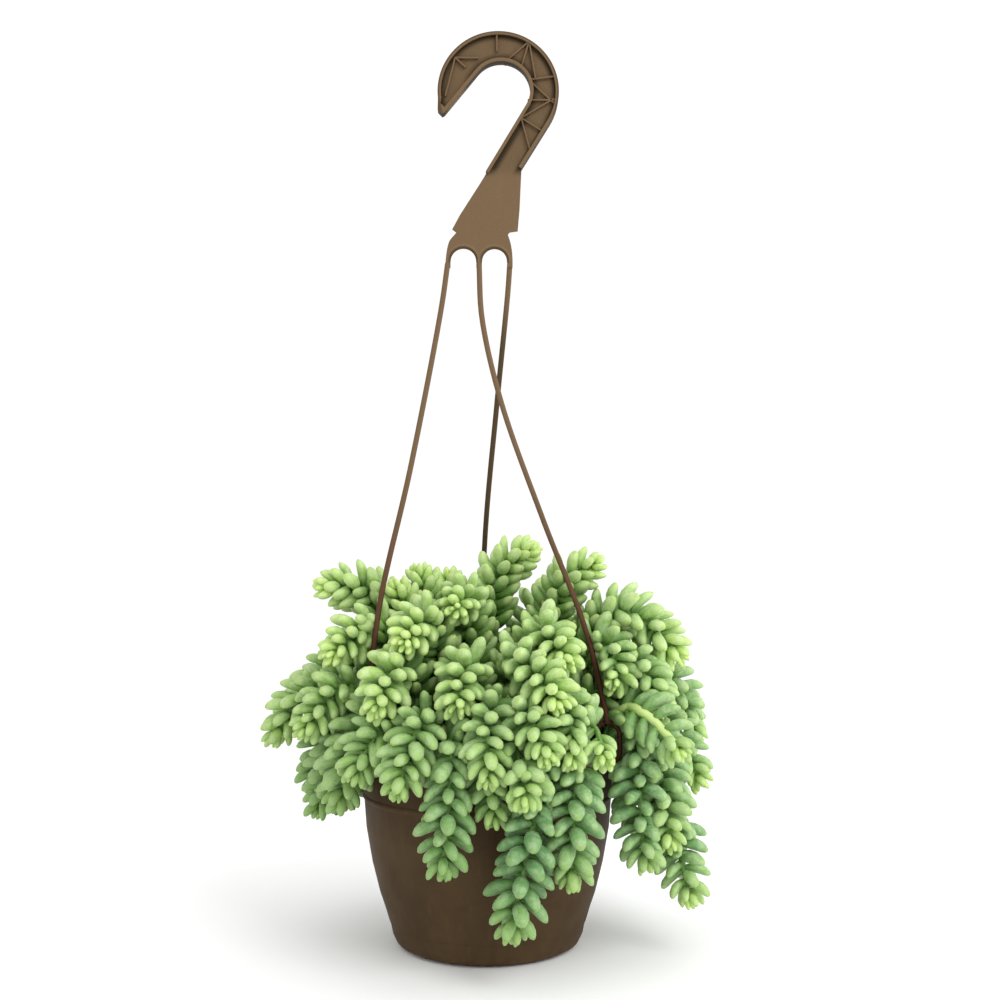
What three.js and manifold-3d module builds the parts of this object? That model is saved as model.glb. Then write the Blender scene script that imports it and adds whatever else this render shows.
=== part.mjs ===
// A burro's tail plant (a trailing succulent) in its 6 inch hanging basket pot.
// Millimetres, +Z up. The origin is the centre of the pot's base, and the plant's best side faces -Y.
// The leafy stems are planted in a table of places, pushed apart until none crosses another, and then
// given their leaves one by one, so that a leaf that would meet another stem is turned in or left out.
import * as THREE from "three";
import { mergeVertices } from "three/addons/utils/BufferGeometryUtils.js";
import Module from "manifold-3d";

const wasm = await Module();
wasm.setup();

// ---- Driving dimensions ----

const GAP = 0.3; // between pieces that touch

// Pot: a thin moulding, drawn by its outside as [radius, height] from the base to the rim.
const POT_OUTSIDE = [
  [51, 0],
  [55.2, 2.2],
  [57.5, 7],
  [58.9, 13.4],
  [59.5, 14.2],
  [61.5, 21],
  [65.3, 32],
  [69.9, 50],
  [73.5, 70],
  [74.8, 87],
  [75.7, 88],
  [75.7, 89.6],
  [75.1, 90.6],
  [76, 118.2],
  [75.4, 119],
];
const POT_WALL = 1.4;
const POT_FLOOR = 1.8;
const POT_SIDES = 30;
const DRAIN_HOLES = 6;
const DRAIN_RADIUS = 2;
const DRAIN_CIRCLE = 38;

// Soil
const SOIL_EDGE = 105.5;
const SOIL_TOP = 108;
const FOOT_DEPTH = 14;
const HOLE_RADIUS = 4; // of the hole that a stem's foot stands in

// Hanger: a ribbed hook, a flat plate under it, three arms and a clip on each arm.
const HOOK_DEPTH = 8;
const HOOK_WEB = 2;
const HOOK_FLANGE = 2.1;
const HOOK_RIB = 1.3;
const HOOK_CURVE_STEPS = 7;
const HOOK_OUTER = { x: 6.3, z: 521, r: 37.8 };
const HOOK_INNER = { x: 8, z: 521.7, r: 18.2 };
const HOOK_TIP = { inner: [-27.2, 507.3], point: [-28.7, 506.6], outer: [-31.3, 509.4] };
const HOOK_TIP_ANGLES = { inner: THREE.MathUtils.degToRad(140), outer: THREE.MathUtils.degToRad(187) };
const SHANK_ANGLE = THREE.MathUtils.degToRad(-31.2); // of the shank's normal
const SHANK_END = { inner: [-1.4, 470.6], outer: [20.6, 472.4] };
const PLATE_THICKNESS = 2.2;
const ARM_WIDTH = 3.3;
const ARM_THICKNESS = 2.5;
const ARM_STEPS = 11;
const CLIP_AZIMUTHS = { left: 214, front: 334, back: 94 };
const CLIP = { radius: 78.3, height: 128, ring: 7.4, rod: 2.8 }; // the ring's middle, its radius and its rod
const RING_ANGLES = [205, 170, 135, 100, 60, 25]; // degrees around the ring, from inside the pot to outside
const PEG_HEIGHT = 112.6;
const PEG_END = 72.8; // from the pot's axis
const PEG_HOLE = 2.4; // its radius
const WEDGE_LENGTH = 9;

// Leafy stems
const STEM_RADIUS = 2;
const CORE_RADIUS = 4.4;
const CORE_SIDES = 4;
const CORE_STEP = 22;
const GOLDEN_ANGLE = THREE.MathUtils.degToRad(137.508);
const LEAF_ROOT = 1; // from the middle of the stem to the sunk root of a leaf
const LEAF_LENGTH = 21.5; // from the middle of the stem to the leaf's tip
const LEAF_RADIUS = 9.8;
const LEAF_SIDES = 3;
const LEAF_SPACING = 11.5;
const LEAF_SPREAD = 56; // degrees away from the stem
const BARE_LENGTH = { inner: 72, outer: 30 }; // of stem before its first leaf, by how far out its foot is
const FOOT_CIRCLES = [30, 56]; // feet within the first circle are inner ones, beyond the second outer ones

// How the stems are pushed apart: BEADS places along each stem, moved step by step.
const BEADS = 12;
const BEAD_RADIUS = 9.6;
const RIM_CLEARANCE = 9; // from the middle of a stem to the pot's rim
const SPREAD_ROUNDS = 70;
const STEM_PUSH = 0.35;
const HANGER_PUSH = 0.5;
const KEEP_OFF = { arm: 4.5, ring: 11, peg: 9 }; // room around the hanger's arms, rings and pegs
const SMOOTHING = 0.12;
const HOME_PULL = { stem: 0.03, tip: 0.08 };
const LARGEST_MOVE = 4;
const RISING_BEADS = 4; // the first beads, which rise over the rim by at least RISE each
const RISE = 7;
const LOWEST_BEAD = 16;

// One row a stem: its foot in the soil, the shoulder where it turns over, its tip, and its way on from there.
const STEMS = [
  // left side, from the top down
  [[-35, 5], [-59, 0, 206], [-99, -10, 214], [-30, -25, -5]],
  [[-40, -20], [-57, -20, 196], [-90, -46, 176], [-25, -30, -12]],
  [[-52, -8], [-95, -15, 163], [-128, -15, 124], [-12, -8, -30]],
  [[-50, -28], [-79, -38, 164], [-104, -55, 134], [-20, -32, -12]],
  [[-62, -14], [-80, -30, 132], [-100, -27, 84], [-6, 0, -30]],
  [[-54, -34], [-68, -54, 133], [-84, -57, 94], [-6, -6, -30]],
  // front left
  [[-36, -38], [-48, -52, 176], [-60, -84, 150], [-4, -35, -18]],
  [[-20, -22], [-32, -32, 198], [-47, -66, 182], [-8, -36, -12]],
  [[-8, -8], [-12, -10, 206], [-18, -46, 202], [0, -40, -4]],
  [[-14, -44], [-11, -56, 174], [-15, -90, 151], [-2, -36, -16]],
  [[-28, -56], [-32, -80, 146], [-47, -102, 108], [2, -16, -30]],
  [[-46, -44], [-58, -70, 140], [-72, -81, 113], [-8, -20, -26]],
  // front middle
  [[-16, -60], [-16, -88, 136], [-23, -101, 66], [-2, -4, -32]],
  [[1, -63], [2, -84, 132], [4, -93, 92], [0, 0, -30]],
  [[-2, -44], [3, -70, 158], [7, -102, 114], [4, -24, -22]],
  [[13, -60], [20, -88, 137], [20, -112, 106], [4, -26, -22]],
  [[25, -56], [34, -86, 136], [14, -98, 33], [-8, -4, -32]],
  [[36, -50], [47, -79, 134], [46, -88, 58], [3, -2, -32]],
  [[8, -32], [22, -75, 158], [31, -105, 124], [2, -22, -22]],
  [[5, -18], [20, -54, 184], [34, -92, 144], [4, -28, -20]],
  [[18, -24], [30, -38, 194], [41, -74, 173], [10, -36, -10]],
  [[24, -42], [40, -72, 154], [43, -97, 124], [4, -22, -24]],
  [[36, -40], [51, -72, 138], [64, -92, 124], [10, -20, -14]],
  // right side
  [[56, -22], [86, -30, 135], [90, -58, 60], [8, -10, -30]],
  [[58, -8], [93, -14, 138], [102, -48, 70], [6, -6, -30]],
  [[61, 6], [94, 0, 139], [117, -38, 36], [10, -6, -30]],
  [[52, 20], [96, 16, 146], [127, -12, 98], [16, -6, -28]],
  [[50, -2], [84, -36, 150], [108, -64, 124], [24, -18, -14]],
  [[40, 4], [84, -14, 178], [98, -38, 145], [8, -12, -28]],
  [[30, -6], [68, -14, 188], [79, -38, 150], [4, -12, -30]],
  [[34, 14], [72, -2, 206], [114, -14, 173], [14, -6, -30]],
  [[46, 28], [102, 22, 166], [130, 16, 122], [8, 0, -32]],
  [[46, -17], [64, -17, 150], [86, -22, 140], [14, -8, -20]],
  // top
  [[20, 4], [40, 5, 209], [66, -2, 227], [28, -18, 6]],
  [[0, 16], [0, 22, 214], [26, 16, 236], [24, -8, 14]],
  [[-20, 3], [-38, 1, 204], [-42, 4, 222], [-2, 4, 28]],
  [[-8, 24], [-24, 26, 203], [-26, 27, 218], [2, 4, 26]],
  [[-30, -8], [-48, -13, 198], [-55, -16, 213], [-8, -12, 22]],
  // far side, top layer
  [[18, 26], [30, 42, 202], [48, 66, 196], [10, 24, -14]],
  [[-6, 32], [-8, 52, 202], [-12, 76, 190], [-2, 28, -14]],
  [[-26, 20], [-42, 36, 200], [-66, 54, 188], [-16, 20, -14]],
  // far side, middle layer, from right to left
  [[38, 26], [76, 34, 176], [112, 46, 142], [16, 8, -26]],
  [[30, 34], [62, 52, 192], [80, 80, 142], [12, 14, -26]],
  [[14, 44], [20, 74, 182], [26, 104, 136], [4, 16, -26]],
  [[-14, 44], [-26, 72, 182], [-36, 100, 138], [-6, 16, -26]],
  [[-34, 34], [-56, 56, 180], [-78, 74, 140], [-14, 12, -26]],
  [[-48, 10], [-84, 18, 172], [-122, 24, 138], [-10, 4, -30]],
  // far side, lower layer, from right to left
  [[58, 18], [88, 31, 139], [112, 32, 80], [6, 0, -30]],
  [[52, 36], [78, 50, 135], [98, 58, 56], [4, 2, -30]],
  [[42, 47], [62, 68, 135], [73, 80, 84], [4, 6, -30]],
  [[30, 56], [43, 81, 135], [50, 92, 44], [0, 2, -30]],
  [[13, 61], [19, 89, 135], [22, 102, 72], [0, 6, -30]],
  [[-16, 60], [-25, 86, 135], [-29, 100, 48], [0, 2, -30]],
  [[-33, 53], [-48, 77, 135], [-55, 88, 86], [-4, 6, -30]],
  [[-47, 41], [-68, 60, 135], [-79, 73, 84], [-4, 0, -30]],
  [[-57, 26], [-82, 37, 135], [-97, 44, 74], [-6, 0, -30]],
  [[-62, 5], [-90, 6, 137], [-107, 8, 92], [-8, 0, -30]],
];

// ---- Solids: joining and cutting ----

// A closed geometry as a solid; triangles flattened to a line, as at a lathe's pole, are dropped.
function solidOf(geometry) {
  const bare = new THREE.BufferGeometry();
  bare.setAttribute("position", geometry.getAttribute("position"));
  bare.setIndex(geometry.getIndex());
  const merged = mergeVertices(bare, 1e-3);
  const index = merged.getIndex().array;
  const triVerts = [];
  for (let i = 0; i < index.length; i += 3) {
    const [a, b, c] = [index[i], index[i + 1], index[i + 2]];
    if (a !== b && b !== c && c !== a) triVerts.push(a, b, c);
  }
  return new wasm.Manifold(
    new wasm.Mesh({
      numProp: 3,
      vertProperties: merged.getAttribute("position").array,
      triVerts: new Uint32Array(triVerts),
    }),
  );
}

function joined(solids) {
  return solids.reduce((all, next) => all.add(next));
}

// The outer skin alone of a fused solid: a hollow that its leaves seal among them is filled.
function filled(solid) {
  return solid.decompose().reduce((largest, body) => (body.volume() > largest.volume() ? body : largest));
}

function cut(solid, cutters) {
  return cutters.reduce((rest, cutter) => rest.subtract(cutter), solid);
}

// A solid as a named mesh of its own material.
function meshOf(name, solid, color, roughness) {
  const { vertProperties, triVerts } = solid.getMesh();
  const geometry = new THREE.BufferGeometry();
  geometry.setAttribute("position", new THREE.BufferAttribute(new Float32Array(vertProperties), 3));
  geometry.setIndex(new THREE.BufferAttribute(new Uint32Array(triVerts), 1));
  geometry.computeVertexNormals();
  const material = new THREE.MeshStandardMaterial({ color, roughness, metalness: 0, flatShading: true });
  const mesh = new THREE.Mesh(geometry, material);
  mesh.name = name;
  return mesh;
}

// ---- Shapes that several pieces use ----

// A turned solid about Z from a profile of [radius, height].
function turned(profile, sides) {
  const points = profile.map(([r, z]) => new THREE.Vector2(r, z));
  return solidOf(new THREE.LatheGeometry(points, sides).rotateX(Math.PI / 2));
}

// A flat shape drawn in x and z, given its thickness along Y, with its middle at y.
function slab(shape, thickness, y = 0, curveSegments = HOOK_CURVE_STEPS) {
  const geometry = new THREE.ExtrudeGeometry(shape, { depth: thickness, bevelEnabled: false, curveSegments });
  geometry.rotateX(Math.PI / 2).translate(0, y + thickness / 2, 0);
  return solidOf(geometry);
}

// A flat-sided rod of a width and a thickness along a curve.
function rod(curve, width, thickness, sides, steps) {
  const corners = [];
  for (let i = 0; i < sides; i++) {
    const angle = (2 * Math.PI * (i + 0.5)) / sides;
    const reach = 0.5 / Math.cos(Math.PI / sides);
    corners.push(new THREE.Vector2(width * reach * Math.cos(angle), thickness * reach * Math.sin(angle)));
  }
  const section = new THREE.Shape(corners);
  return solidOf(new THREE.ExtrudeGeometry(section, { steps, extrudePath: curve, bevelEnabled: false }));
}

function polar(radius, degrees, z) {
  const angle = THREE.MathUtils.degToRad(degrees);
  return new THREE.Vector3(radius * Math.cos(angle), radius * Math.sin(angle), z);
}

// ---- Pot and soil ----

// The radius of a profile that rises from point to point, at a height.
function radiusAt(profile, z) {
  const above = Math.max(1, profile.findIndex(([, height]) => height >= z));
  const [[r0, z0], [r1, z1]] = [profile[above - 1], profile[above]];
  return THREE.MathUtils.lerp(r0, r1, THREE.MathUtils.clamp((z - z0) / (z1 - z0), 0, 1));
}

function potRadius(z) {
  return radiusAt(POT_OUTSIDE, z);
}

// The pot's inside from its floor up to the rim.
const POT_INSIDE = [POT_FLOOR, 14, 32, 50, 70, 118].map((z) => [potRadius(z) - POT_WALL, z]);

function pot() {
  const body = turned([[0, 0], ...POT_OUTSIDE, ...POT_INSIDE.toReversed(), [0, POT_FLOOR]], POT_SIDES);
  const cutters = [];
  for (let i = 0; i < DRAIN_HOLES; i++) {
    const drill = new THREE.CylinderGeometry(DRAIN_RADIUS, DRAIN_RADIUS, 4 * POT_FLOOR, 5);
    const place = polar(DRAIN_CIRCLE, (360 * (i + 0.5)) / DRAIN_HOLES, 0);
    cutters.push(solidOf(drill.rotateX(Math.PI / 2).translate(place.x, place.y, place.z)));
  }
  for (const azimuth of Object.values(CLIP_AZIMUTHS)) {
    const drill = new THREE.CylinderGeometry(PEG_HOLE, PEG_HOLE, 12, 6).rotateZ(Math.PI / 2);
    const place = polar(POT_OUTSIDE.at(-1)[0], azimuth, PEG_HEIGHT);
    drill.rotateZ(THREE.MathUtils.degToRad(azimuth)).translate(place.x, place.y, place.z);
    cutters.push(solidOf(drill));
  }
  return cut(body, cutters);
}

function soil(feet) {
  const floor = POT_FLOOR + GAP;
  const wall = [floor, 14, 32, 70, SOIL_EDGE].map((z) => [radiusAt(POT_INSIDE, z) - GAP, z]);
  const profile = [[0, floor], ...wall, [0, SOIL_TOP]];
  const holes = feet.map(([x, y]) => {
    const drill = new THREE.CylinderGeometry(HOLE_RADIUS, HOLE_RADIUS, 2 * FOOT_DEPTH, CORE_SIDES);
    return solidOf(drill.rotateX(Math.PI / 2).translate(x, y, SOIL_TOP));
  });
  return cut(turned(profile, POT_SIDES), holes);
}

// ---- Hanger ----

// The hook's outline from its tip to its shank, or the same drawn inside by an inset.
function hookShape(inset) {
  const { x: ox, z: oz, r: outer } = HOOK_OUTER;
  const { x: ix, z: iz, r: inner } = HOOK_INNER;
  const acrossShank = [inset * Math.cos(SHANK_ANGLE), inset * Math.sin(SHANK_ANGLE)];
  const shape = new THREE.Shape();
  shape.moveTo(HOOK_TIP.inner[0] + 0.1 * inset, HOOK_TIP.inner[1] + 1.7 * inset);
  shape.absarc(ix, iz, inner + inset, HOOK_TIP_ANGLES.inner, SHANK_ANGLE, true);
  shape.lineTo(SHANK_END.inner[0] + acrossShank[0], SHANK_END.inner[1] + acrossShank[1]);
  shape.lineTo(SHANK_END.outer[0] - acrossShank[0], SHANK_END.outer[1] - acrossShank[1]);
  shape.absarc(ox, oz, outer - inset, SHANK_ANGLE, HOOK_TIP_ANGLES.outer, false);
  shape.lineTo(HOOK_TIP.outer[0] + 0.8 * inset, HOOK_TIP.outer[1] + 1.8 * inset);
  if (inset === 0) shape.lineTo(...HOOK_TIP.point);
  return shape;
}

// A rib between two points of the hook, each given as [x, z].
function rib([x0, z0], [x1, z1]) {
  const length = Math.hypot(x1 - x0, z1 - z0);
  const bar = new THREE.BoxGeometry(length, HOOK_RIB, HOOK_DEPTH - 1);
  bar.rotateZ(Math.atan2(z1 - z0, x1 - x0)).translate((x0 + x1) / 2, (z0 + z1) / 2, 0);
  return solidOf(bar.rotateX(Math.PI / 2));
}

const RIBS = [
  [[-20.5, 542.3], [-14, 536]],
  [[-20.5, 542.3], [-23.5, 522]],
  [[-20.5, 542.3], [-6, 542]],
  [[5.3, 557], [5.7, 539.2]],
  [[25.5, 552.5], [10.5, 539.4]],
  [[25.5, 552.5], [20.6, 536]],
  [[25.5, 552.5], [29.5, 528.5]],
  [[25.8, 528.3], [42.5, 530.6]],
  [[25.8, 527.6], [41, 513.5]],
  [[24.6, 515.5], [42.5, 515.5]],
  [[41, 516.5], [20.5, 504.2]],
  [[20.5, 504.2], [33.5, 496]],
  [[20.5, 504.2], [26, 484]],
];

// The plate's two notched edges as [x, z], and the arches between the tops of the arms.
const PLATE_LEFT = [[-1, 474], [-4.9, 464.2], [-17.4, 444], [-22.2, 435], [-19.6, 433], [-23.7, 428.2]];
const PLATE_RIGHT = [[12.2, 431.6], [13.4, 433.2], [18.4, 433.9], [19.6, 448], [20.8, 474]];
const PLATE_BOTTOM = 411;
const ARCHES = [{ x: -15.3, z: 415, r: 8 }, { x: 4, z: 415, r: 7.8 }];

// The plate's outline, down its left edge, over the arches and up its right edge.
function plateShape() {
  const shape = new THREE.Shape();
  const [start, ...leftEdge] = PLATE_LEFT;
  shape.moveTo(...start);
  for (const point of leftEdge) shape.lineTo(...point);
  shape.quadraticCurveTo(-25.9, 424, -26.6, PLATE_BOTTOM);
  for (const { x, z, r } of ARCHES) {
    shape.lineTo(x - r, PLATE_BOTTOM);
    shape.absarc(x, z, r, Math.PI, 0, true);
    shape.lineTo(x + r, PLATE_BOTTOM);
  }
  shape.lineTo(15.2, PLATE_BOTTOM);
  shape.quadraticCurveTo(15.6, 424, ...PLATE_RIGHT[0]);
  for (const point of PLATE_RIGHT.slice(1)) shape.lineTo(...point);
  return shape;
}

// Each arm's route from the plate to the top of its clip; the clip's own point is added at the end.
const ARM_ROUTES = {
  left: [[-25, 0, 414], [-28.6, -4, 386], [-46.5, -19, 285], [-63, -33, 206], [-66.8, -40, 167]],
  front: [[-5.6, 0, 414], [-3.7, -4, 379], [8.2, -10, 326], [33.4, -19, 254], [58, -28, 189]],
  back: [[13.5, 0, 414], [12.4, 5, 398], [5.4, 25, 329], [-2.4, 49, 244]],
};

function armCurve(side) {
  const end = polar(CLIP.radius, CLIP_AZIMUTHS[side], CLIP.height + CLIP.ring + 1);
  return new THREE.CatmullRomCurve3([...ARM_ROUTES[side].map((p) => new THREE.Vector3(...p)), end]);
}

// The clip's bent rod: over the rim like a C, down outside it, and in through the rim's hole.
function clip(azimuth) {
  const place = (r, z) => polar(r, azimuth, z);
  const route = RING_ANGLES.map((degrees) => {
    const angle = THREE.MathUtils.degToRad(degrees);
    return place(CLIP.radius + CLIP.ring * Math.cos(angle), CLIP.height + CLIP.ring * Math.sin(angle));
  });
  const outside = CLIP.radius + CLIP.ring;
  route.push(place(outside, CLIP.height - 4), place(outside, PEG_HEIGHT + 5.5));
  route.push(place(outside - 1.6, PEG_HEIGHT + 1.6), place(outside - 5.5, PEG_HEIGHT));
  route.push(place(PEG_END, PEG_HEIGHT));
  return rod(new THREE.CatmullRomCurve3(route), CLIP.rod, CLIP.rod, 6, 15);
}

// The widening where an arm meets its clip.
function wedge(curve) {
  const cone = new THREE.CylinderGeometry(ARM_THICKNESS / 2, ARM_WIDTH, WEDGE_LENGTH, 6);
  const along = curve.getTangentAt(1).negate();
  cone.applyQuaternion(new THREE.Quaternion().setFromUnitVectors(new THREE.Vector3(0, 1, 0), along));
  const middle = curve.getPointAt(1).addScaledVector(along, WEDGE_LENGTH / 2 - 1.5);
  return solidOf(cone.translate(middle.x, middle.y, middle.z));
}

function hanger() {
  const pocketDepth = (HOOK_DEPTH - HOOK_WEB) / 2;
  const pocketMiddle = (HOOK_WEB + pocketDepth) / 2;
  const pockets = [-pocketMiddle, pocketMiddle].map((y) => slab(hookShape(HOOK_FLANGE), pocketDepth, y));
  const parts = [cut(slab(hookShape(0), HOOK_DEPTH), pockets), slab(plateShape(), PLATE_THICKNESS, 0, 4)];
  parts.push(...RIBS.map(([from, to]) => rib(from, to)));
  for (const [side, azimuth] of Object.entries(CLIP_AZIMUTHS)) {
    const curve = armCurve(side);
    parts.push(rod(curve, ARM_WIDTH, ARM_THICKNESS, 4, ARM_STEPS), wedge(curve), clip(azimuth));
  }
  return joined(parts);
}

// ---- Leafy stems: where they run ----

// A point of a smooth curve between b and c, with a before them and d after them.
function between(a, b, c, d, t) {
  const at = (k) => {
    const curve = 2 * a[k] - 5 * b[k] + 4 * c[k] - d[k];
    const turn = 3 * b[k] - a[k] - 3 * c[k] + d[k];
    return 0.5 * (2 * b[k] + (c[k] - a[k]) * t + curve * t ** 2 + turn * t ** 3);
  };
  return new THREE.Vector3(at(0), at(1), at(2));
}

// The beads of one stem before they are pushed apart: up from the foot, over the shoulder, to the tip.
function firstBeads([foot, shoulder, tip, wayOn]) {
  const start = [...foot, SOIL_TOP];
  const under = [...foot, SOIL_TOP - 70];
  const after = tip.map((value, axis) => value + wayOn[axis]);
  const beads = [];
  for (let i = 0; i < BEADS; i++) {
    const t = (2 * i) / (BEADS - 1);
    beads.push(t < 1 ? between(under, start, shoulder, tip, t) : between(start, shoulder, tip, after, t - 1));
  }
  return beads;
}

// How much room a bead keeps: little on the bare stem and the leaves' room from the fourth bead on.
function beadRadius(i) {
  return Math.min(BEAD_RADIUS, STEM_RADIUS + 1 + 1.7 * i);
}

// Points that the stems keep away from, with their radii: on each arm's lower half, and at each clip.
function hangerObstacles() {
  const obstacles = [];
  for (const [side, azimuth] of Object.entries(CLIP_AZIMUTHS)) {
    const curve = armCurve(side);
    for (let i = 0; i <= 24; i++) {
      obstacles.push({ at: curve.getPointAt(0.5 + i / 48), radius: KEEP_OFF.arm });
    }
    obstacles.push({ at: polar(CLIP.radius, azimuth, CLIP.height), radius: KEEP_OFF.ring });
    obstacles.push({ at: polar(CLIP.radius + 3, azimuth, PEG_HEIGHT + 4), radius: KEEP_OFF.peg });
  }
  return obstacles;
}

// The push that takes a point out of reach of another, or nothing if they are far enough apart.
function push(from, to, reach, share) {
  const away = new THREE.Vector3().subVectors(from, to);
  const distance = away.length();
  if (distance >= reach || distance === 0) return new THREE.Vector3();
  return away.multiplyScalar((share * (reach - distance)) / distance);
}

// The push that keeps a bead clear of the pot's wall and rim.
function pushFromPot(bead, radius) {
  const rimRadius = POT_OUTSIDE.at(-1)[0];
  const rimHeight = POT_OUTSIDE.at(-1)[1];
  const r = Math.hypot(bead.x, bead.y);
  const outward = new THREE.Vector3(bead.x / r, bead.y / r, 0);
  if (bead.z > rimHeight) {
    const rim = outward.multiplyScalar(rimRadius).setZ(rimHeight);
    return push(bead, rim, Math.max(RIM_CLEARANCE, radius), 1);
  }
  const wall = potRadius(bead.z);
  if (r > wall - POT_WALL) return outward.multiplyScalar(Math.max(0, wall + radius - r));
  return outward.multiplyScalar(Math.min(0, wall - POT_WALL - RIM_CLEARANCE / 2 - r));
}

// Pushes the beads of different stems apart, step by step, while each stem stays smooth and near its place.
function spreadStems(stems) {
  const obstacles = hangerObstacles();
  const home = stems.map((beads) => beads.map((bead) => bead.clone()));
  for (let round = 0; round < SPREAD_ROUNDS; round++) {
    const moves = stems.map((beads) => beads.map(() => new THREE.Vector3()));
    stems.forEach((beads, a) => {
      for (let i = 1; i < BEADS; i++) {
        const move = moves[a][i];
        stems.forEach((others, b) => {
          if (a === b) return;
          for (let j = 0; j < BEADS; j++) {
            move.add(push(beads[i], others[j], beadRadius(i) + beadRadius(j), STEM_PUSH));
          }
        });
        for (const { at, radius } of obstacles) {
          move.add(push(beads[i], at, radius + 0.8 * beadRadius(i), HANGER_PUSH));
        }
        if (i < BEADS - 1) {
          const middle = beads[i - 1].clone().add(beads[i + 1]).multiplyScalar(0.5);
          move.addScaledVector(middle.sub(beads[i]), SMOOTHING);
        }
        const pull = i < BEADS - 1 ? HOME_PULL.stem : HOME_PULL.tip;
        move.addScaledVector(home[a][i].clone().sub(beads[i]), pull);
      }
    });
    stems.forEach((beads, a) => {
      for (let i = 1; i < BEADS; i++) {
        beads[i].add(moves[a][i].clampLength(0, LARGEST_MOVE));
        beads[i].add(pushFromPot(beads[i], 0.9 * beadRadius(i)));
        beads[i].z = Math.max(beads[i].z, i < RISING_BEADS ? SOIL_TOP + RISE * i : LOWEST_BEAD);
      }
    });
  }
}

// A stem's route: straight up out of its hole in the soil, then through its beads.
function routeOf(beads) {
  const foot = beads[0].clone().setZ(SOIL_TOP - FOOT_DEPTH + GAP);
  const neck = beads[0].clone().setZ(SOIL_TOP - FOOT_DEPTH / 2);
  return new THREE.CatmullRomCurve3([foot, neck, ...beads], false, "catmullrom", 0.5);
}

// ---- Leafy stems: their solids ----

// A place on a route with its tangent and two directions across it, which don't twist along the stem.
function station(route, distance) {
  const u = THREE.MathUtils.clamp(distance / route.getLength(), 0, 1);
  const at = route.getPointAt(u);
  const tangent = route.getTangentAt(u);
  const run = route.getPoint(1).sub(route.getPoint(0)).setZ(0).normalize();
  const side = new THREE.Vector3(-run.y, run.x, 0);
  side.addScaledVector(tangent, -side.dot(tangent)).normalize();
  return { at, tangent, side, across: new THREE.Vector3().crossVectors(tangent, side) };
}

// The stem itself: thin in the soil, stout among the leaves, and thin again at its tip.
// It is turned with its rings at heights 0, 1, 2..., which are then moved to places on the route.
function core(route) {
  const length = route.getLength();
  const rings = [[0, STEM_RADIUS], [FOOT_DEPTH + 2, STEM_RADIUS + 0.5]];
  const steps = Math.round((length - FOOT_DEPTH) / CORE_STEP);
  for (let i = 1; i <= steps; i++) {
    const reach = i / steps;
    const radius = CORE_RADIUS * Math.min(0.55 + reach, 1) * (1 - 0.3 * reach ** 3);
    rings.push([THREE.MathUtils.lerp(FOOT_DEPTH, length - 2, reach), radius]);
  }
  const places = rings.map(([distance]) => station(route, distance));
  const profile = rings.map(([, radius], i) => new THREE.Vector2(radius, i));
  profile.unshift(new THREE.Vector2(0, 0));
  profile.push(new THREE.Vector2(0, rings.length - 1));
  const geometry = new THREE.LatheGeometry(profile, CORE_SIDES);
  const position = geometry.getAttribute("position");
  for (let i = 0; i < position.count; i++) {
    const { at, side, across } = places[Math.round(position.getY(i))];
    const point = at.clone().addScaledVector(across, position.getX(i));
    point.addScaledVector(side, position.getZ(i));
    position.setXYZ(i, point.x, point.y, point.z);
  }
  return solidOf(geometry);
}

// One leaf along +Y from its root in the middle of the stem.
function leafGeometry(length, radius) {
  const profile = [[0, LEAF_ROOT], [radius, 0.6 * length], [0, length]];
  const points = profile.map(([r, reach]) => new THREE.Vector2(r, reach));
  return new THREE.LatheGeometry(points, LEAF_SIDES);
}

// The places of a stem's leaves in a golden-angle spiral, closer and smaller towards the tip.
function leafPlaces(route, turn) {
  const foot = route.getPoint(0);
  const outer = THREE.MathUtils.smoothstep(Math.hypot(foot.x, foot.y), ...FOOT_CIRCLES);
  const bare = THREE.MathUtils.lerp(BARE_LENGTH.inner, BARE_LENGTH.outer, outer);
  const length = route.getLength();
  const places = [];
  let distance = length - 1.5;
  for (let i = 0; distance > bare; i++) {
    const young = Math.max(0, 1 - i / 4);
    places.push({ distance, angle: turn + i * GOLDEN_ANGLE, young });
    distance -= LEAF_SPACING * (1 - 0.5 * young);
  }
  return places;
}

// Tries for one leaf: straight out at its full size first, then closer to the stem and smaller.
const TRIES = [[1, 1], [0.75, 1], [0.55, 0.94], [0.8, 0.82], [0.5, 0.8]];
const TEST_SIZE = 1.12; // a leaf is tested larger than it is, which leaves a gap around it

function leafSolid(route, { distance, angle, young }, [spreadShare, size], grow) {
  const { at, tangent, side, across } = station(route, distance);
  const out = across.multiplyScalar(Math.cos(angle)).addScaledVector(side, Math.sin(angle));
  const spread = THREE.MathUtils.degToRad(LEAF_SPREAD * spreadShare * (1 - 0.7 * young ** 2));
  const along = tangent.multiplyScalar(Math.cos(spread)).addScaledVector(out, Math.sin(spread));
  const scale = size * (1 - 0.2 * young);
  const radius = LEAF_RADIUS * scale * (1 - 0.15 * young) * grow;
  const length = LEAF_LENGTH * scale * (1 + (grow - 1) / 3);
  const geometry = leafGeometry(length, radius);
  geometry.applyQuaternion(new THREE.Quaternion().setFromUnitVectors(new THREE.Vector3(0, 1, 0), along));
  geometry.translate(at.x, at.y, at.z);
  return { solid: solidOf(geometry), middle: at.addScaledVector(along, length / 2), reach: length / 2 + 1 };
}

function meets(leaf, other) {
  if (leaf.middle.distanceTo(other.middle) > leaf.reach + other.reach) return false;
  return !leaf.solid.intersect(other.solid).isEmpty();
}

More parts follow.
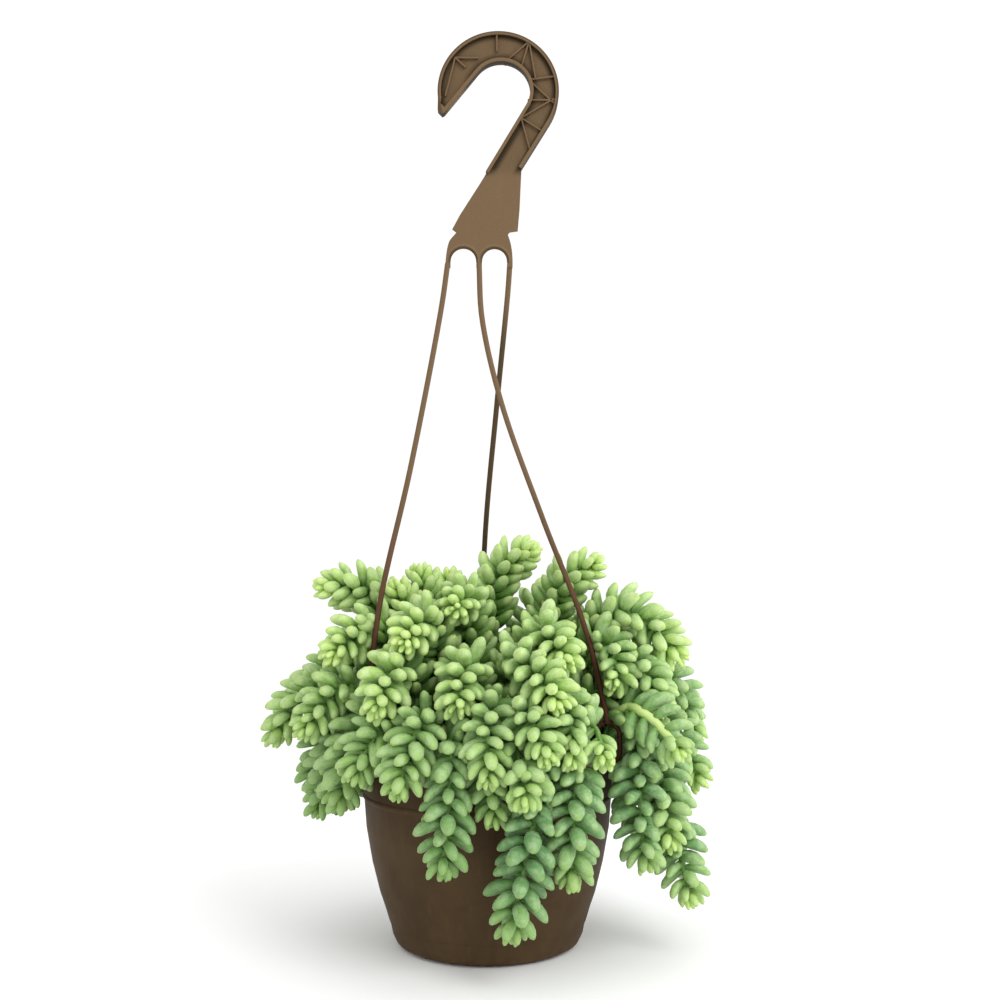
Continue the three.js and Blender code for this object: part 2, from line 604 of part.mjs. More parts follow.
// Gives every stem its leaves, one round after another from the tips down.
function leafyStems(fixed) {
  const beads = STEMS.map(firstBeads);
  spreadStems(beads);
  const stems = beads.map((row, i) => {
    const route = routeOf(row);
    return { route, core: core(route), leaves: [], places: leafPlaces(route, i * 0.9) };
  });
  const rounds = Math.max(...stems.map(({ places }) => places.length));
  for (let k = 0; k < rounds; k++) {
    for (const stem of stems) {
      if (k >= stem.places.length) continue;
      for (const tried of TRIES) {
        const test = leafSolid(stem.route, stem.places[k], tried, TEST_SIZE);
        const others = stems.filter((other) => other !== stem);
        const blocked =
          others.some((other) => other.leaves.some((leaf) => meets(test, leaf))) ||
          others.some((other) => !test.solid.intersect(other.core).isEmpty()) ||
          fixed.some((piece) => !test.solid.intersect(piece).isEmpty());
        if (blocked) continue;
        stem.leaves.push(leafSolid(stem.route, stem.places[k], tried, 1));
        break;
      }
    }
  }
  return stems.map((stem) => filled(joined([stem.core, ...stem.leaves.map((leaf) => leaf.solid)])));
}

// ---- The whole object ----

const potSolid = pot();
const hangerSolid = hanger();
const soilSolid = soil(STEMS.map(([foot]) => foot));

const plant = new THREE.Group();
plant.add(meshOf("pot", potSolid, 0x4a3a2e, 0.55));
plant.add(meshOf("soil", soilSolid, 0x2c211a, 0.95));
plant.add(meshOf("hanger", hangerSolid, 0x6f5642, 0.5));
leafyStems([potSolid, soilSolid, hangerSolid]).forEach((stem, i) => {
  const number = String(i + 1).padStart(2, "0");
  plant.add(meshOf(`leafy_stem_${number}`, stem, 0x8fba7a, 0.6));
});

export default plant;
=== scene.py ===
"""The looks of a burro's tail plant in its hanging pot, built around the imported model.

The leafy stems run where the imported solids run: the same table of feet, shoulders and tips is pushed
apart by the same rule, and then each stem gets its small plump leaves one by one, from its tip down.
Tables are in millimetres, as on a drawing, and everything that is built is in metres.
"""

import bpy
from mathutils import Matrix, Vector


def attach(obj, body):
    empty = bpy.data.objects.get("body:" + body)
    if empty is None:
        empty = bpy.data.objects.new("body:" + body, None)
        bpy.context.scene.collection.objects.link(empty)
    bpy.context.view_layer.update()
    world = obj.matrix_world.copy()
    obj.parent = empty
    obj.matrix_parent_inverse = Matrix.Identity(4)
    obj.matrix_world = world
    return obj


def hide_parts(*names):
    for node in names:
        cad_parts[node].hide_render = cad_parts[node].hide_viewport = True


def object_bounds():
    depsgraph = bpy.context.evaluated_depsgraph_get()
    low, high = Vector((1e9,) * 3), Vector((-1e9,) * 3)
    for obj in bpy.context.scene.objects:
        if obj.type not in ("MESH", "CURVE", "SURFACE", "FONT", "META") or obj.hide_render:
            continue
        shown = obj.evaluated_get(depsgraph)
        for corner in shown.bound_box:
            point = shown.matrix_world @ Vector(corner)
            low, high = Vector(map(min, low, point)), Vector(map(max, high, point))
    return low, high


bl_info = {
    "name": "Burro's Tail in a Hanging Pot",
    "version": (1, 0, 0),
    "blender": (4, 5, 0),
    "location": "View3D > Sidebar > Burro's Tail",
    "description": "Builds a trailing succulent, its pot, its soil and its hanger",
    "category": "Object",
}

import math
import random

import bmesh
import bpy
import numpy as np
from bpy.props import FloatProperty, FloatVectorProperty, IntProperty, PointerProperty
from mathutils import Matrix, Vector

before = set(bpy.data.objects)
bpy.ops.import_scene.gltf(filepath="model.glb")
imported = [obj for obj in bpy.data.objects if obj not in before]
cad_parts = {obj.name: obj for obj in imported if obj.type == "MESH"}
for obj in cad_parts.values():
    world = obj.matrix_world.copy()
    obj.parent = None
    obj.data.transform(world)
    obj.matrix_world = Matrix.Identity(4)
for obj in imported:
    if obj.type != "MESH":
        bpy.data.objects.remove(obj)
CAD_BOX = [list(corner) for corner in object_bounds()]
MM = 0.001

# ---- Sizes that the looks share with the solids, in millimetres ----

# The pot's outside as (radius, height), with its foot, its raised line and its rim rounded.
POT_OUTSIDE = [
    (51, 0), (55.2, 2.2), (57.5, 7), (58.9, 13.4), (59.5, 14.2), (61.5, 21), (65.3, 32), (69.9, 50),
    (73.5, 70), (74.8, 87), (75.7, 88), (75.7, 89.6), (75.1, 90.6), (76, 118.2), (75.4, 119),
]
POT_WALL = 1.4
POT_FLOOR = 1.8
DRAIN_HOLES = 6
DRAIN_RADIUS = 2
DRAIN_CIRCLE = 38
SOIL_EDGE = 105.5
SOIL_TOP = 108
FOOT_DEPTH = 14

HOOK_DEPTH = 8
HOOK_WEB = 2
HOOK_FLANGE = 2.1
HOOK_RIB = 1.1
HOOK_OUTER = (6.3, 521, 37.7)
HOOK_INNER = (8, 521.7, 18.2)
HOOK_TIP = {"inner": (-27.2, 507.3), "point": (-28.7, 506.6), "outer": (-31.3, 509.4)}
HOOK_TIP_ANGLES = {"inner": 140, "outer": 187}
SHANK_ANGLE = -31.2
SHANK_END = {"inner": (-1.4, 470.6), "outer": (20.6, 472.4)}
RIBS = [
    ((-20.5, 542.3), (-14, 536)), ((-20.5, 542.3), (-26.6, 518)), ((-20.5, 542.3), (-6, 542)),
    ((5.3, 557), (5.5, 546)), ((25.5, 552.5), (10.5, 539.4)), ((25.5, 552.5), (20.6, 536)),
    ((25.5, 552.5), (29.5, 528.5)), ((25.8, 528.3), (42.5, 530.6)), ((25.8, 527.6), (41, 513.5)),
    ((24.6, 515.5), (42.5, 515.5)), ((41, 516.5), (20.5, 504.2)), ((20.5, 504.2), (33.5, 496)),
    ((20.5, 504.2), (26, 484)),
]
PLATE_LEFT = [(1.2, 474), (-4.6, 464.2), (-17.4, 444), (-22.2, 435), (-19.6, 433), (-23.7, 428.2)]
PLATE_RIGHT = [(12.2, 431.6), (13.4, 433.2), (18.4, 433.9), (19.6, 448), (20.8, 474)]
PLATE_BOTTOM = 411
PLATE_THICKNESS = 2.2
ARCHES = [(-15.3, 415, 8), (4, 415, 7.8)]
ARM_WIDTH = 3.2
ARM_THICKNESS = 2.5
ARM_ROUTES = {
    "left": [(-25, 0, 414), (-28.6, -4, 386), (-46.5, -19, 285), (-63, -33, 206), (-66.8, -40, 167)],
    "front": [(-5.6, 0, 414), (-3.7, -4, 379), (8.2, -10, 326), (33.4, -19, 254), (58, -28, 189)],
    "back": [(13.5, 0, 414), (12.4, 5, 398), (5.4, 25, 329), (-2.4, 49, 244)],
}
CLIP_AZIMUTHS = {"left": 214, "front": 334, "back": 94}
CLIP_RADIUS = 78.3
CLIP_HEIGHT = 128
CLIP_RING = 7.4
CLIP_ROD = 2.8
RING_ANGLES = [205, 170, 135, 100, 60, 25]
RING_FOOT = 4
PEG_HEIGHT = 112.6
PEG_END = 72.8
CLIP_HOLE_RADIUS = 1.9
# Where a clip's rod turns in under its ring, as (inwards from its outside, above the peg).
ROD_TURN = [(0, 5.5), (1.6, 1.6), (5.5, 0)]

# The rule that pushes the stems apart, as in the solids.
BEADS = 12
BEAD_RADIUS = 9.6
FIRST_BEAD_RADIUS = 3
BEAD_GROWTH = 1.7
AIM_DEPTH = 70
FOOT_GAP = 0.3
RIM_CLEARANCE = 9
SPREAD_ROUNDS = 70
STEM_PUSH = 0.35
HANGER_PUSH = 0.5
KEEP_OFF = {"arm": 4.5, "ring": 11, "peg": 9}
ARM_SHARES = 0.5 + np.arange(25) / 48
HANGER_SHARE = 0.8
POT_SHARE = 0.9
SMOOTHING = 0.12
HOME_PULL = {"stem": 0.03, "tip": 0.08}
LARGEST_MOVE = 4
RISING_BEADS = 4
RISE = 7
LOWEST_BEAD = 16
GOLDEN_ANGLE = math.radians(137.508)

# One row a stem: its foot in the soil (x, y), the shoulder where it turns over, its tip, and its way on
# from there.
STEMS = [
    # left side, from the top down
    ((-35, 5), (-59, 0, 206), (-99, -10, 214), (-30, -25, -5)),
    ((-40, -20), (-57, -20, 196), (-90, -46, 176), (-25, -30, -12)),
    ((-52, -8), (-95, -15, 163), (-128, -15, 124), (-12, -8, -30)),
    ((-50, -28), (-79, -38, 164), (-104, -55, 134), (-20, -32, -12)),
    ((-62, -14), (-80, -30, 132), (-100, -27, 84), (-6, 0, -30)),
    ((-54, -34), (-68, -54, 133), (-84, -57, 94), (-6, -6, -30)),
    # front left
    ((-36, -38), (-48, -52, 176), (-60, -84, 150), (-4, -35, -18)),
    ((-20, -22), (-32, -32, 198), (-47, -66, 182), (-8, -36, -12)),
    ((-8, -8), (-12, -10, 206), (-18, -46, 202), (0, -40, -4)),
    ((-14, -44), (-11, -56, 174), (-15, -90, 151), (-2, -36, -16)),
    ((-28, -56), (-32, -80, 146), (-47, -102, 108), (2, -16, -30)),
    ((-46, -44), (-58, -70, 140), (-72, -81, 113), (-8, -20, -26)),
    # front middle
    ((-16, -60), (-16, -88, 136), (-23, -101, 66), (-2, -4, -32)),
    ((1, -63), (2, -84, 132), (4, -93, 92), (0, 0, -30)),
    ((-2, -44), (3, -70, 158), (7, -102, 114), (4, -24, -22)),
    ((13, -60), (20, -88, 137), (20, -112, 106), (4, -26, -22)),
    ((25, -56), (34, -86, 136), (14, -98, 33), (-8, -4, -32)),
    ((36, -50), (47, -79, 134), (46, -88, 58), (3, -2, -32)),
    ((8, -32), (22, -75, 158), (31, -105, 124), (2, -22, -22)),
    ((5, -18), (20, -54, 184), (34, -92, 144), (4, -28, -20)),
    ((18, -24), (30, -38, 194), (41, -74, 173), (10, -36, -10)),
    ((24, -42), (40, -72, 154), (43, -97, 124), (4, -22, -24)),
    ((36, -40), (51, -72, 138), (64, -92, 124), (10, -20, -14)),
    # right side
    ((56, -22), (86, -30, 135), (90, -58, 60), (8, -10, -30)),
    ((58, -8), (93, -14, 138), (102, -48, 70), (6, -6, -30)),
    ((61, 6), (94, 0, 139), (117, -38, 36), (10, -6, -30)),
    ((52, 20), (96, 16, 146), (127, -12, 98), (16, -6, -28)),
    ((50, -2), (84, -36, 150), (108, -64, 124), (24, -18, -14)),
    ((40, 4), (84, -14, 178), (98, -38, 145), (8, -12, -28)),
    ((30, -6), (68, -14, 188), (79, -38, 150), (4, -12, -30)),
    ((34, 14), (72, -2, 206), (114, -14, 173), (14, -6, -30)),
    ((46, 28), (102, 22, 166), (130, 16, 122), (8, 0, -32)),
    ((46, -17), (64, -17, 150), (86, -22, 140), (14, -8, -20)),
    # top
    ((20, 4), (40, 5, 209), (66, -2, 227), (28, -18, 6)),
    ((0, 16), (0, 22, 214), (26, 16, 236), (24, -8, 14)),
    ((-20, 3), (-38, 1, 204), (-42, 4, 222), (-2, 4, 28)),
    ((-8, 24), (-24, 26, 203), (-26, 27, 218), (2, 4, 26)),
    ((-30, -8), (-48, -13, 198), (-55, -16, 213), (-8, -12, 22)),
    # far side, top layer
    ((18, 26), (30, 42, 202), (48, 66, 196), (10, 24, -14)),
    ((-6, 32), (-8, 52, 202), (-12, 76, 190), (-2, 28, -14)),
    ((-26, 20), (-42, 36, 200), (-66, 54, 188), (-16, 20, -14)),
    # far side, middle layer, from right to left
    ((38, 26), (76, 34, 176), (112, 46, 142), (16, 8, -26)),
    ((30, 34), (62, 52, 192), (80, 80, 142), (12, 14, -26)),
    ((14, 44), (20, 74, 182), (26, 104, 136), (4, 16, -26)),
    ((-14, 44), (-26, 72, 182), (-36, 100, 138), (-6, 16, -26)),
    ((-34, 34), (-56, 56, 180), (-78, 74, 140), (-14, 12, -26)),
    ((-48, 10), (-84, 18, 172), (-122, 24, 138), (-10, 4, -30)),
    # far side, lower layer, from right to left
    ((58, 18), (88, 31, 139), (112, 32, 80), (6, 0, -30)),
    ((52, 36), (78, 50, 135), (98, 58, 56), (4, 2, -30)),
    ((42, 47), (62, 68, 135), (73, 80, 84), (4, 6, -30)),
    ((30, 56), (43, 81, 135), (50, 92, 44), (0, 2, -30)),
    ((13, 61), (19, 89, 135), (22, 102, 72), (0, 6, -30)),
    ((-16, 60), (-25, 86, 135), (-29, 100, 48), (0, 2, -30)),
    ((-33, 53), (-48, 77, 135), (-55, 88, 86), (-4, 6, -30)),
    ((-47, 41), (-68, 60, 135), (-79, 73, 84), (-4, 0, -30)),
    ((-57, 26), (-82, 37, 135), (-97, 44, 74), (-6, 0, -30)),
    ((-62, 5), (-90, 6, 137), (-107, 8, 92), (-8, 0, -30)),
]

# ---- Where things run: curves, and stems pushed apart ----


def polar(radius, degrees, z):
    """A point by its distance from the pot's axis, its direction and its height."""
    angle = math.radians(degrees)
    return np.array([radius * math.cos(angle), radius * math.sin(angle), z])


def between(a, b, c, d, t):
    """A point of a smooth curve between b and c, with a before them and d after them."""
    curve = 2 * a - 5 * b + 4 * c - d
    turn = 3 * b - a - 3 * c + d
    return 0.5 * (2 * b + (c - a) * t + curve * t**2 + turn * t**3)


def even_between(a, b, c, d, t):
    """The same for points that are unevenly spaced, which keeps the curve from overshooting."""
    before, here, after = (math.sqrt(np.linalg.norm(q - p)) for p, q in ((a, b), (b, c), (c, d)))
    leave = ((b - a) / before - (c - a) / (before + here) + (c - b) / here) * here
    arrive = ((c - b) / here - (d - b) / (here + after) + (d - c) / after) * here
    return b + leave * t + (3 * (c - b) - 2 * leave - arrive) * t**2 + (2 * (b - c) + leave + arrive) * t**3


def line_through(points, rule, per_span=24):
    """Many points on a curve through the given points."""
    points = np.asarray(points, float)
    padded = np.vstack([2 * points[0] - points[1], points, 2 * points[-1] - points[-2]])
    line = []
    for a, b, c, d in zip(padded, padded[1:], padded[2:], padded[3:]):
        line += [rule(a, b, c, d, step / per_span) for step in range(per_span)]
    return np.array([*line, points[-1]])


def walked(line):
    """How far along a line each of its points is."""
    steps = np.linalg.norm(np.diff(line, axis=0), axis=1)
    return np.concatenate([[0], np.cumsum(steps)])


def point_along(line, distances):
    """The points of a line at the given distances from its start."""
    way = walked(line)
    return np.stack([np.interp(distances, way, line[:, k]) for k in range(3)], axis=-1)


def arm_line(side):
    """The middle of one of the hanger's arms, from the plate down to its clip."""
    end = polar(CLIP_RADIUS, CLIP_AZIMUTHS[side], CLIP_HEIGHT + CLIP_RING + 1)
    return line_through([*ARM_ROUTES[side], end], even_between)


def clip_line(azimuth):
    """The middle of a clip's rod: over the rim like a C, down outside it and in through the rim's hole."""
    def place(r, z):
        return polar(r, azimuth, z)

    turns = [math.radians(degrees) for degrees in RING_ANGLES]
    route = [
        place(CLIP_RADIUS + CLIP_RING * math.cos(turn), CLIP_HEIGHT + CLIP_RING * math.sin(turn))
        for turn in turns
    ]
    outside = CLIP_RADIUS + CLIP_RING
    route.append(place(outside, CLIP_HEIGHT - RING_FOOT))
    route += [place(outside - inwards, PEG_HEIGHT + above) for inwards, above in ROD_TURN]
    return line_through([*route, place(PEG_END, PEG_HEIGHT)], even_between, 8)


def pot_radius(z):
    """The pot's outer radius at a height."""
    radii, heights = zip(*POT_OUTSIDE)
    return np.interp(z, heights, radii)


def bead_radius(i):
    """How much room a place on a stem keeps: little at its foot, and the leaves' room further on."""
    return np.minimum(BEAD_RADIUS, FIRST_BEAD_RADIUS + BEAD_GROWTH * i)


def first_beads(foot, shoulder, tip, way_on):
    """The places of one stem before they are pushed apart: from the foot over the shoulder to the tip."""
    start, under = np.array([*foot, SOIL_TOP]), np.array([*foot, SOIL_TOP - AIM_DEPTH])
    shoulder, tip = np.array(shoulder, float), np.array(tip, float)
    after = tip + way_on
    beads = []
    for i in range(BEADS):
        t = 2 * i / (BEADS - 1)
        spans = (under, start, shoulder, tip) if t < 1 else (start, shoulder, tip, after)
        beads.append(between(*spans, t if t < 1 else t - 1))
    return beads


def pushes(points, others, reach, share):
    """The sum of the pushes that take each point out of reach of the others."""
    away = points[:, None, :] - others[None, :, :]
    distance = np.linalg.norm(away, axis=2)
    close = (distance < reach) & (distance > 0)
    strength = np.where(close, share * (reach - distance) / np.maximum(distance, 1e-9), 0)
    return (away * strength[:, :, None]).sum(axis=1)


def pushed_from_pot(beads, radii):
    """The places of beads after the pot's wall and rim have pushed them clear."""
    rim_radius, rim_height = POT_OUTSIDE[-1]
    r = np.linalg.norm(beads[:, :2], axis=1)
    outward = np.column_stack([beads[:, 0] / r, beads[:, 1] / r, np.zeros(len(r))])
    rim = outward * rim_radius + [0, 0, rim_height]
    away = beads - rim
    distance = np.linalg.norm(away, axis=1)
    missing = np.maximum(0, np.maximum(RIM_CLEARANCE, radii) - distance)
    over = away * (missing / np.maximum(distance, 1e-9))[:, None]
    wall = pot_radius(beads[:, 2])
    outside = np.maximum(0, wall + radii - r)
    inside = np.minimum(0, wall - POT_WALL - RIM_CLEARANCE / 2 - r)
    aside = outward * np.where(r > wall - POT_WALL, outside, inside)[:, None]
    return beads + np.where((beads[:, 2] > rim_height)[:, None], over, aside)


def stem_lines():
    """The middle line of every stem, from its foot in the soil to its tip."""
    stems, moving = len(STEMS), BEADS - 1
    beads = np.array([first_beads(*row) for row in STEMS])
    home = beads[:, 1:].copy()
    radii = bead_radius(np.arange(BEADS))
    own = np.repeat(np.arange(stems), moving)[:, None] == np.repeat(np.arange(stems), BEADS)[None, :]
    stem_reach = np.where(own, 0, np.tile(radii[1:], stems)[:, None] + np.tile(radii, stems)[None, :])
    kept_off, keep_radii = hanger_obstacles()
    hanger_reach = keep_radii[None, :] + HANGER_SHARE * np.tile(radii[1:], stems)[:, None]
    pull = np.full(moving, HOME_PULL["stem"])
    pull[-1] = HOME_PULL["tip"]
    lowest = np.array([SOIL_TOP + RISE * i if i < RISING_BEADS else LOWEST_BEAD for i in range(1, BEADS)])
    for _ in range(SPREAD_ROUNDS):
        flat = beads[:, 1:].reshape(-1, 3)
        move = pushes(flat, beads.reshape(-1, 3), stem_reach, STEM_PUSH)
        move += pushes(flat, kept_off, hanger_reach, HANGER_PUSH)
        move = move.reshape(stems, moving, 3)
        middles = (beads[:, :-2] + beads[:, 2:]) / 2
        move[:, :-1] += SMOOTHING * (middles - beads[:, 1:-1])
        move += pull[None, :, None] * (home - beads[:, 1:])
        length = np.linalg.norm(move, axis=2, keepdims=True)
        move *= np.minimum(1, LARGEST_MOVE / np.maximum(length, 1e-9))
        moved = (beads[:, 1:] + move).reshape(-1, 3)
        moved = pushed_from_pot(moved, POT_SHARE * np.tile(radii[1:], stems))
        moved = moved.reshape(stems, moving, 3)
        moved[:, :, 2] = np.maximum(moved[:, :, 2], lowest[None, :])
        beads[:, 1:] = moved
    lines = []
    for row in beads:
        foot, neck = row[0].copy(), row[0].copy()
        foot[2] = SOIL_TOP - FOOT_DEPTH + FOOT_GAP
        neck[2] = SOIL_TOP - FOOT_DEPTH / 2
        lines.append(line_through([foot, neck, *row], between))
    return lines


def hanger_obstacles():
    """Points that the stems keep away from, and their radii: on each arm's lower half and at each clip."""
    points, radii = [], []
    for side, azimuth in CLIP_AZIMUTHS.items():
        line = arm_line(side)
        points += list(point_along(line, ARM_SHARES * walked(line)[-1]))
        radii += [KEEP_OFF["arm"]] * len(ARM_SHARES)
        points += [polar(CLIP_RADIUS, azimuth, CLIP_HEIGHT), polar(CLIP_RADIUS + 3, azimuth, PEG_HEIGHT + 4)]
        radii += [KEEP_OFF["ring"], KEEP_OFF["peg"]]
    return np.array(points), np.array(radii)


def within(value, low=0, high=1):
    """A number held between two others."""
    return min(high, max(low, value))


def below(height, top, span):
    """How far a height lies under another one, from 0 at that to 1 a span lower."""
    return within((top - height) / span)


def corner_curve(start, bend, end, steps):
    """Points of a curve from start to end that is drawn towards a bend."""
    shares = [i / steps for i in range(steps + 1)]
    return [(1 - t) ** 2 * start + 2 * t * (1 - t) * bend + t**2 * end for t in shares]


# ---- Finishes: shader maths written as expressions ----

# Where colours change, in metres: between heights, depths or distances, as (start, end) of a smooth step
# or as the two steps of a band.
POT_RIM = (0.1165, 0.1186)
POT_LINE = (0.0868, 0.0882, 0.0893, 0.0908)
POT_FOOT = (0.001, 0.012)
ARM_TO_PLATE = (0.15, 0.31)
# From here on: where painted shade falls on the hanger, behind the plate, in the hook's recess and along its
# brink, and where painted shade and a painted highlight fall round the arches.
BACK_ARM_DEPTH = (0.004, 0.016)
RECESS_HEIGHT = (0.467, 0.474)
RECESS_DEPTH = (0.0022, 0.0040)
RECESS_INSIDE = (0.0198, 0.0250)
RECESS_OUTSIDE = (0.0318, 0.0358)
RECESS_SHANK = [(0.0030, 0.0068), (0.0135, 0.0165)]
SHANK_TO_CURVE = (0.500, 0.507)
BRINK = (0.0364, 0.0372)
BRINK_HEIGHT = (0.500, 0.512, 0.5588, 0.5596)
ARCH_HEIGHT = (0.411, 0.417)


def shade(code):
    """A colour written as six hex digits, in the linear values that Blender's sockets take."""
    parts = [int(code[i : i + 2], 16) / 255 for i in (0, 2, 4)]
    linear = [p / 12.92 if p <= 0.04045 else ((p + 0.055) / 1.055) ** 2.4 for p in parts]
    return (*linear, 1.0)


class Value:
    """One output socket of a finish; Python's operators add Math nodes to it."""

    def __init__(self, finish, socket):
        self.finish, self.socket = finish, socket

    def maths(self, operation, *others):
        return self.finish.maths(operation, self, *others)

    def __add__(self, other):
        return self.maths("ADD", other)

    def __sub__(self, other):
        return self.maths("SUBTRACT", other)

    def __rsub__(self, other):
        return self.finish.maths("SUBTRACT", other, self)

    def __mul__(self, other):
        return self.maths("MULTIPLY", other)

    __radd__ = __add__
    __rmul__ = __mul__


class Finish:
    """A material in the making: its shader, and the one way in which nodes are added to it."""

    def __init__(self, name, roughness=0.5, **fixed):
        self.material = bpy.data.materials.new(name)
        self.material.use_nodes = True
        self.tree = self.material.node_tree
        self.shader = self.tree.nodes["Principled BSDF"]
        self.dress(Roughness=roughness, **fixed)

    def node(self, kind, settings=None, inputs=None, output=0):
        """Adds a node, sets it up, feeds its sockets by name or number, and returns one of its outputs."""
        made = self.tree.nodes.new("ShaderNode" + kind)
        for name, value in (settings or {}).items():
            setattr(made, name, value)
        for name, value in (inputs or {}).items():
            self.feed(made.inputs[name], value)
        return Value(self, made.outputs[output])

    def feed(self, socket, value):
        if isinstance(value, Value):
            self.tree.links.new(value.socket, socket)
        else:
            socket.default_value = value

    def dress(self, **sockets):
        """Feeds the shader's own sockets and returns the material."""
        for name, value in sockets.items():
            self.feed(self.shader.inputs[name.replace("_", " ")], value)
        return self.material

    def maths(self, operation, *values):
        return self.node("Math", {"operation": operation}, dict(enumerate(values)))

    def place(self):
        """Where a point of the piece is, in metres."""
        return self.node("TexCoord", output="Object")

    def axis(self, name):
        """How far a point of the piece lies along X, Y or Z."""
        return self.node("SeparateXYZ", inputs={0: self.place()}, output=name)

    def attribute(self, name, output="Fac"):
        return self.node("Attribute", {"attribute_name": name}, output=output)

    def noise(self, where, per_metre, detail=2.0, roughness=0.5):
        inputs = {"Vector": where, "Scale": per_metre, "Detail": detail, "Roughness": roughness}
        return self.node("TexNoise", inputs=inputs)

    def step(self, value, start, end):
        """A smooth rise from 0 to 1 as a value goes from start to end."""
        return self.node("MapRange", {"interpolation_type": "SMOOTHSTEP"}, {0: value, 1: start, 2: end})

    def band(self, value, start, full, fading, end):
        """A smooth rise to 1 and a fall back to 0."""
        return self.step(value, start, full) * (1 - self.step(value, fading, end))

    def mix(self, share, first, second, blend="MIX"):
        settings = {"data_type": "RGBA", "blend_type": blend}
        return self.node("Mix", settings, {0: share, 6: first, 7: second}, 2)

    def coats(self, tone, *layers):
        """Lays colours over a tone one after the other, each as (share, colour)."""
        for share, colour in layers:
            tone = self.mix(share, tone, colour)
        return tone

    def stretched(self, where, x, y, z):
        """Places made denser or sparser along each direction, for a pattern that runs one way."""
        return self.node("Mapping", inputs={"Vector": where, "Scale": (x, y, z)})

    def away_from(self, x, z):
        """The distance from a line that runs front to back at x and z, both in millimetres."""
        flat = self.node("VectorMath", {"operation": "MULTIPLY"}, {0: self.place(), 1: (1, 0, 1)})
        line = (x * MM, 0, z * MM)
        return self.node("VectorMath", {"operation": "DISTANCE"}, {0: flat, 1: line}, "Value")

    def bump(self, height, depth, strength, **under):
        """A relief of a given depth, over another one where Normal names it."""
        return self.node("Bump", inputs={"Height": height, "Distance": depth, "Strength": strength, **under})


def leaf_finish(colours):
    """Waxy leaf: bloom rubbed off in streaks over green, a darker root with painted shade, a pale end with a
    painted highlight, a greener point, and painted shade deep inside the plant and low on it.
    """
    finish = Finish(
        "waxy_leaf", Subsurface_Weight=0.14, Subsurface_Radius=(0.5, 1.0, 0.3), Subsurface_Scale=0.003,
        Specular_IOR_Level=0.42, Sheen_Weight=0.26, Sheen_Roughness=0.32, Sheen_Tint=shade("dff2c4"),
    )
    names = ("along", "young", "tint", "sunny", "shaded", "low", "dry")
    along, young, tint, sunny, shaded, low, dry = (finish.attribute(name) for name in names)
    grain = finish.attribute("grain", "Vector")
    patches = finish.noise(grain, 230, 3.0, 0.6)
    streaks = finish.noise(finish.stretched(grain, 1.0, 1.0, 0.3), 900, 3.0, 0.65)
    rubbed = finish.step(streaks, 0.5, 0.72)
    pale = finish.step(tint, 0.55, 1.0) * 0.35
    bloom = finish.step(patches, 0.42, 0.6) * (0.46 - 0.24 * young)
    dull = (1 - finish.step(tint, 0.0, 0.35)) * 0.3
    # Painted shade at each leaf's root, where its neighbours crowd it, over the root's own darker green.
    root = (1 - finish.step(along, 0.1, 0.52)) * 0.62
    # A paler leaf end with a painted highlight on it, stronger on sunnier leaves.
    pale_lit_end = finish.step(along, 0.64, 0.88) * (0.28 + 0.32 * tint) * (0.45 + 0.55 * sunny)
    point = finish.step(along + 0.08 * streaks, 0.97, 1.03) * (0.3 + 0.45 * tint)
    green = finish.coats(
        colours.hanging_leaf, (sunny, colours.grown_leaf), (pale, colours.pale_leaf),
        (young, colours.young_leaf), (bloom, colours.bloom),
        (rubbed * (0.66 - 0.3 * young), colours.rubbed_leaf), (dull, colours.rubbed_leaf),
        # Painted shade on leaves deep inside the plant and at each leaf's root.
        (shaded * 0.8, colours.shaded_leaf), (root, colours.leaf_root_shade),
        (pale_lit_end, colours.pale_lit_leaf_end), (point, colours.leaf_point),
    )
    # Painted shade over leaves low on the plant and towards its left.
    green = finish.mix(low, green, colours.low_leaf_shade, "MULTIPLY")
    green = finish.mix(dry, green, finish.mix(rubbed, colours.dried_pale, colours.dried_dark))
    rough = 0.42 + 0.16 * patches + 0.08 * rubbed + 0.25 * dry
    return finish.dress(Base_Color=green, Roughness=rough, Normal=finish.bump(streaks, 0.0004, 0.5))


def plastic_finish(name, colour, pale, dark, grain, shine):
    """Moulded plastic: fine grain, faint clouding in the colour, dust and small scuffs."""
    finish = Finish(name, Specular_IOR_Level=0.2, IOR=1.25)
    where = finish.place()
    clouds = finish.noise(where, 38, 3.0)
    streaks = finish.noise(finish.stretched(where, 1.0, 1.0, 0.12), 260, 3.0)
    specks = finish.noise(where, 950, 2.0, 0.6)
    tone = finish.coats(
        colour, (finish.step(clouds, 0.35, 0.7) * 0.55, dark), (finish.step(streaks, 0.5, 0.8) * 0.22, pale),
        (finish.step(specks, 0.64, 0.74) * 0.35, pale),
    )
    clouding = finish.bump(clouds, 0.0008, 0.3)
    finish.dress(
        Roughness=shine + 0.12 * clouds + 0.1 * specks,
        Normal=finish.bump(finish.noise(where, grain), 0.0002, 0.4, Normal=clouding),
    )
    return finish, tone


def pot_finish(colours):
    """The pot's plastic, with a paler rim and foot where it has been handled and set down, and a faint
    painted highlight along its raised line.
    """
    finish, tone = plastic_finish("pot_plastic", colours.body, colours.wear_and_highlight, colours.shaded, 1600, 0.45)
    height = finish.axis("Z")
    rim, line = finish.step(height, *POT_RIM), finish.band(height, *POT_LINE)
    dusty = finish.step(finish.noise(finish.place(), 120, 4.0, 0.65), 0.4, 0.7)
    foot = (1 - finish.step(height, *POT_FOOT)) * dusty
    # The rim's paler colour is wear and the foot's is dust; the raised line's is a faint painted highlight.
    wear_and_highlight = 0.35 * rim + 0.08 * line + 0.4 * foot
    return finish.dress(Base_Color=finish.mix(wear_and_highlight, tone, colours.wear_and_highlight))


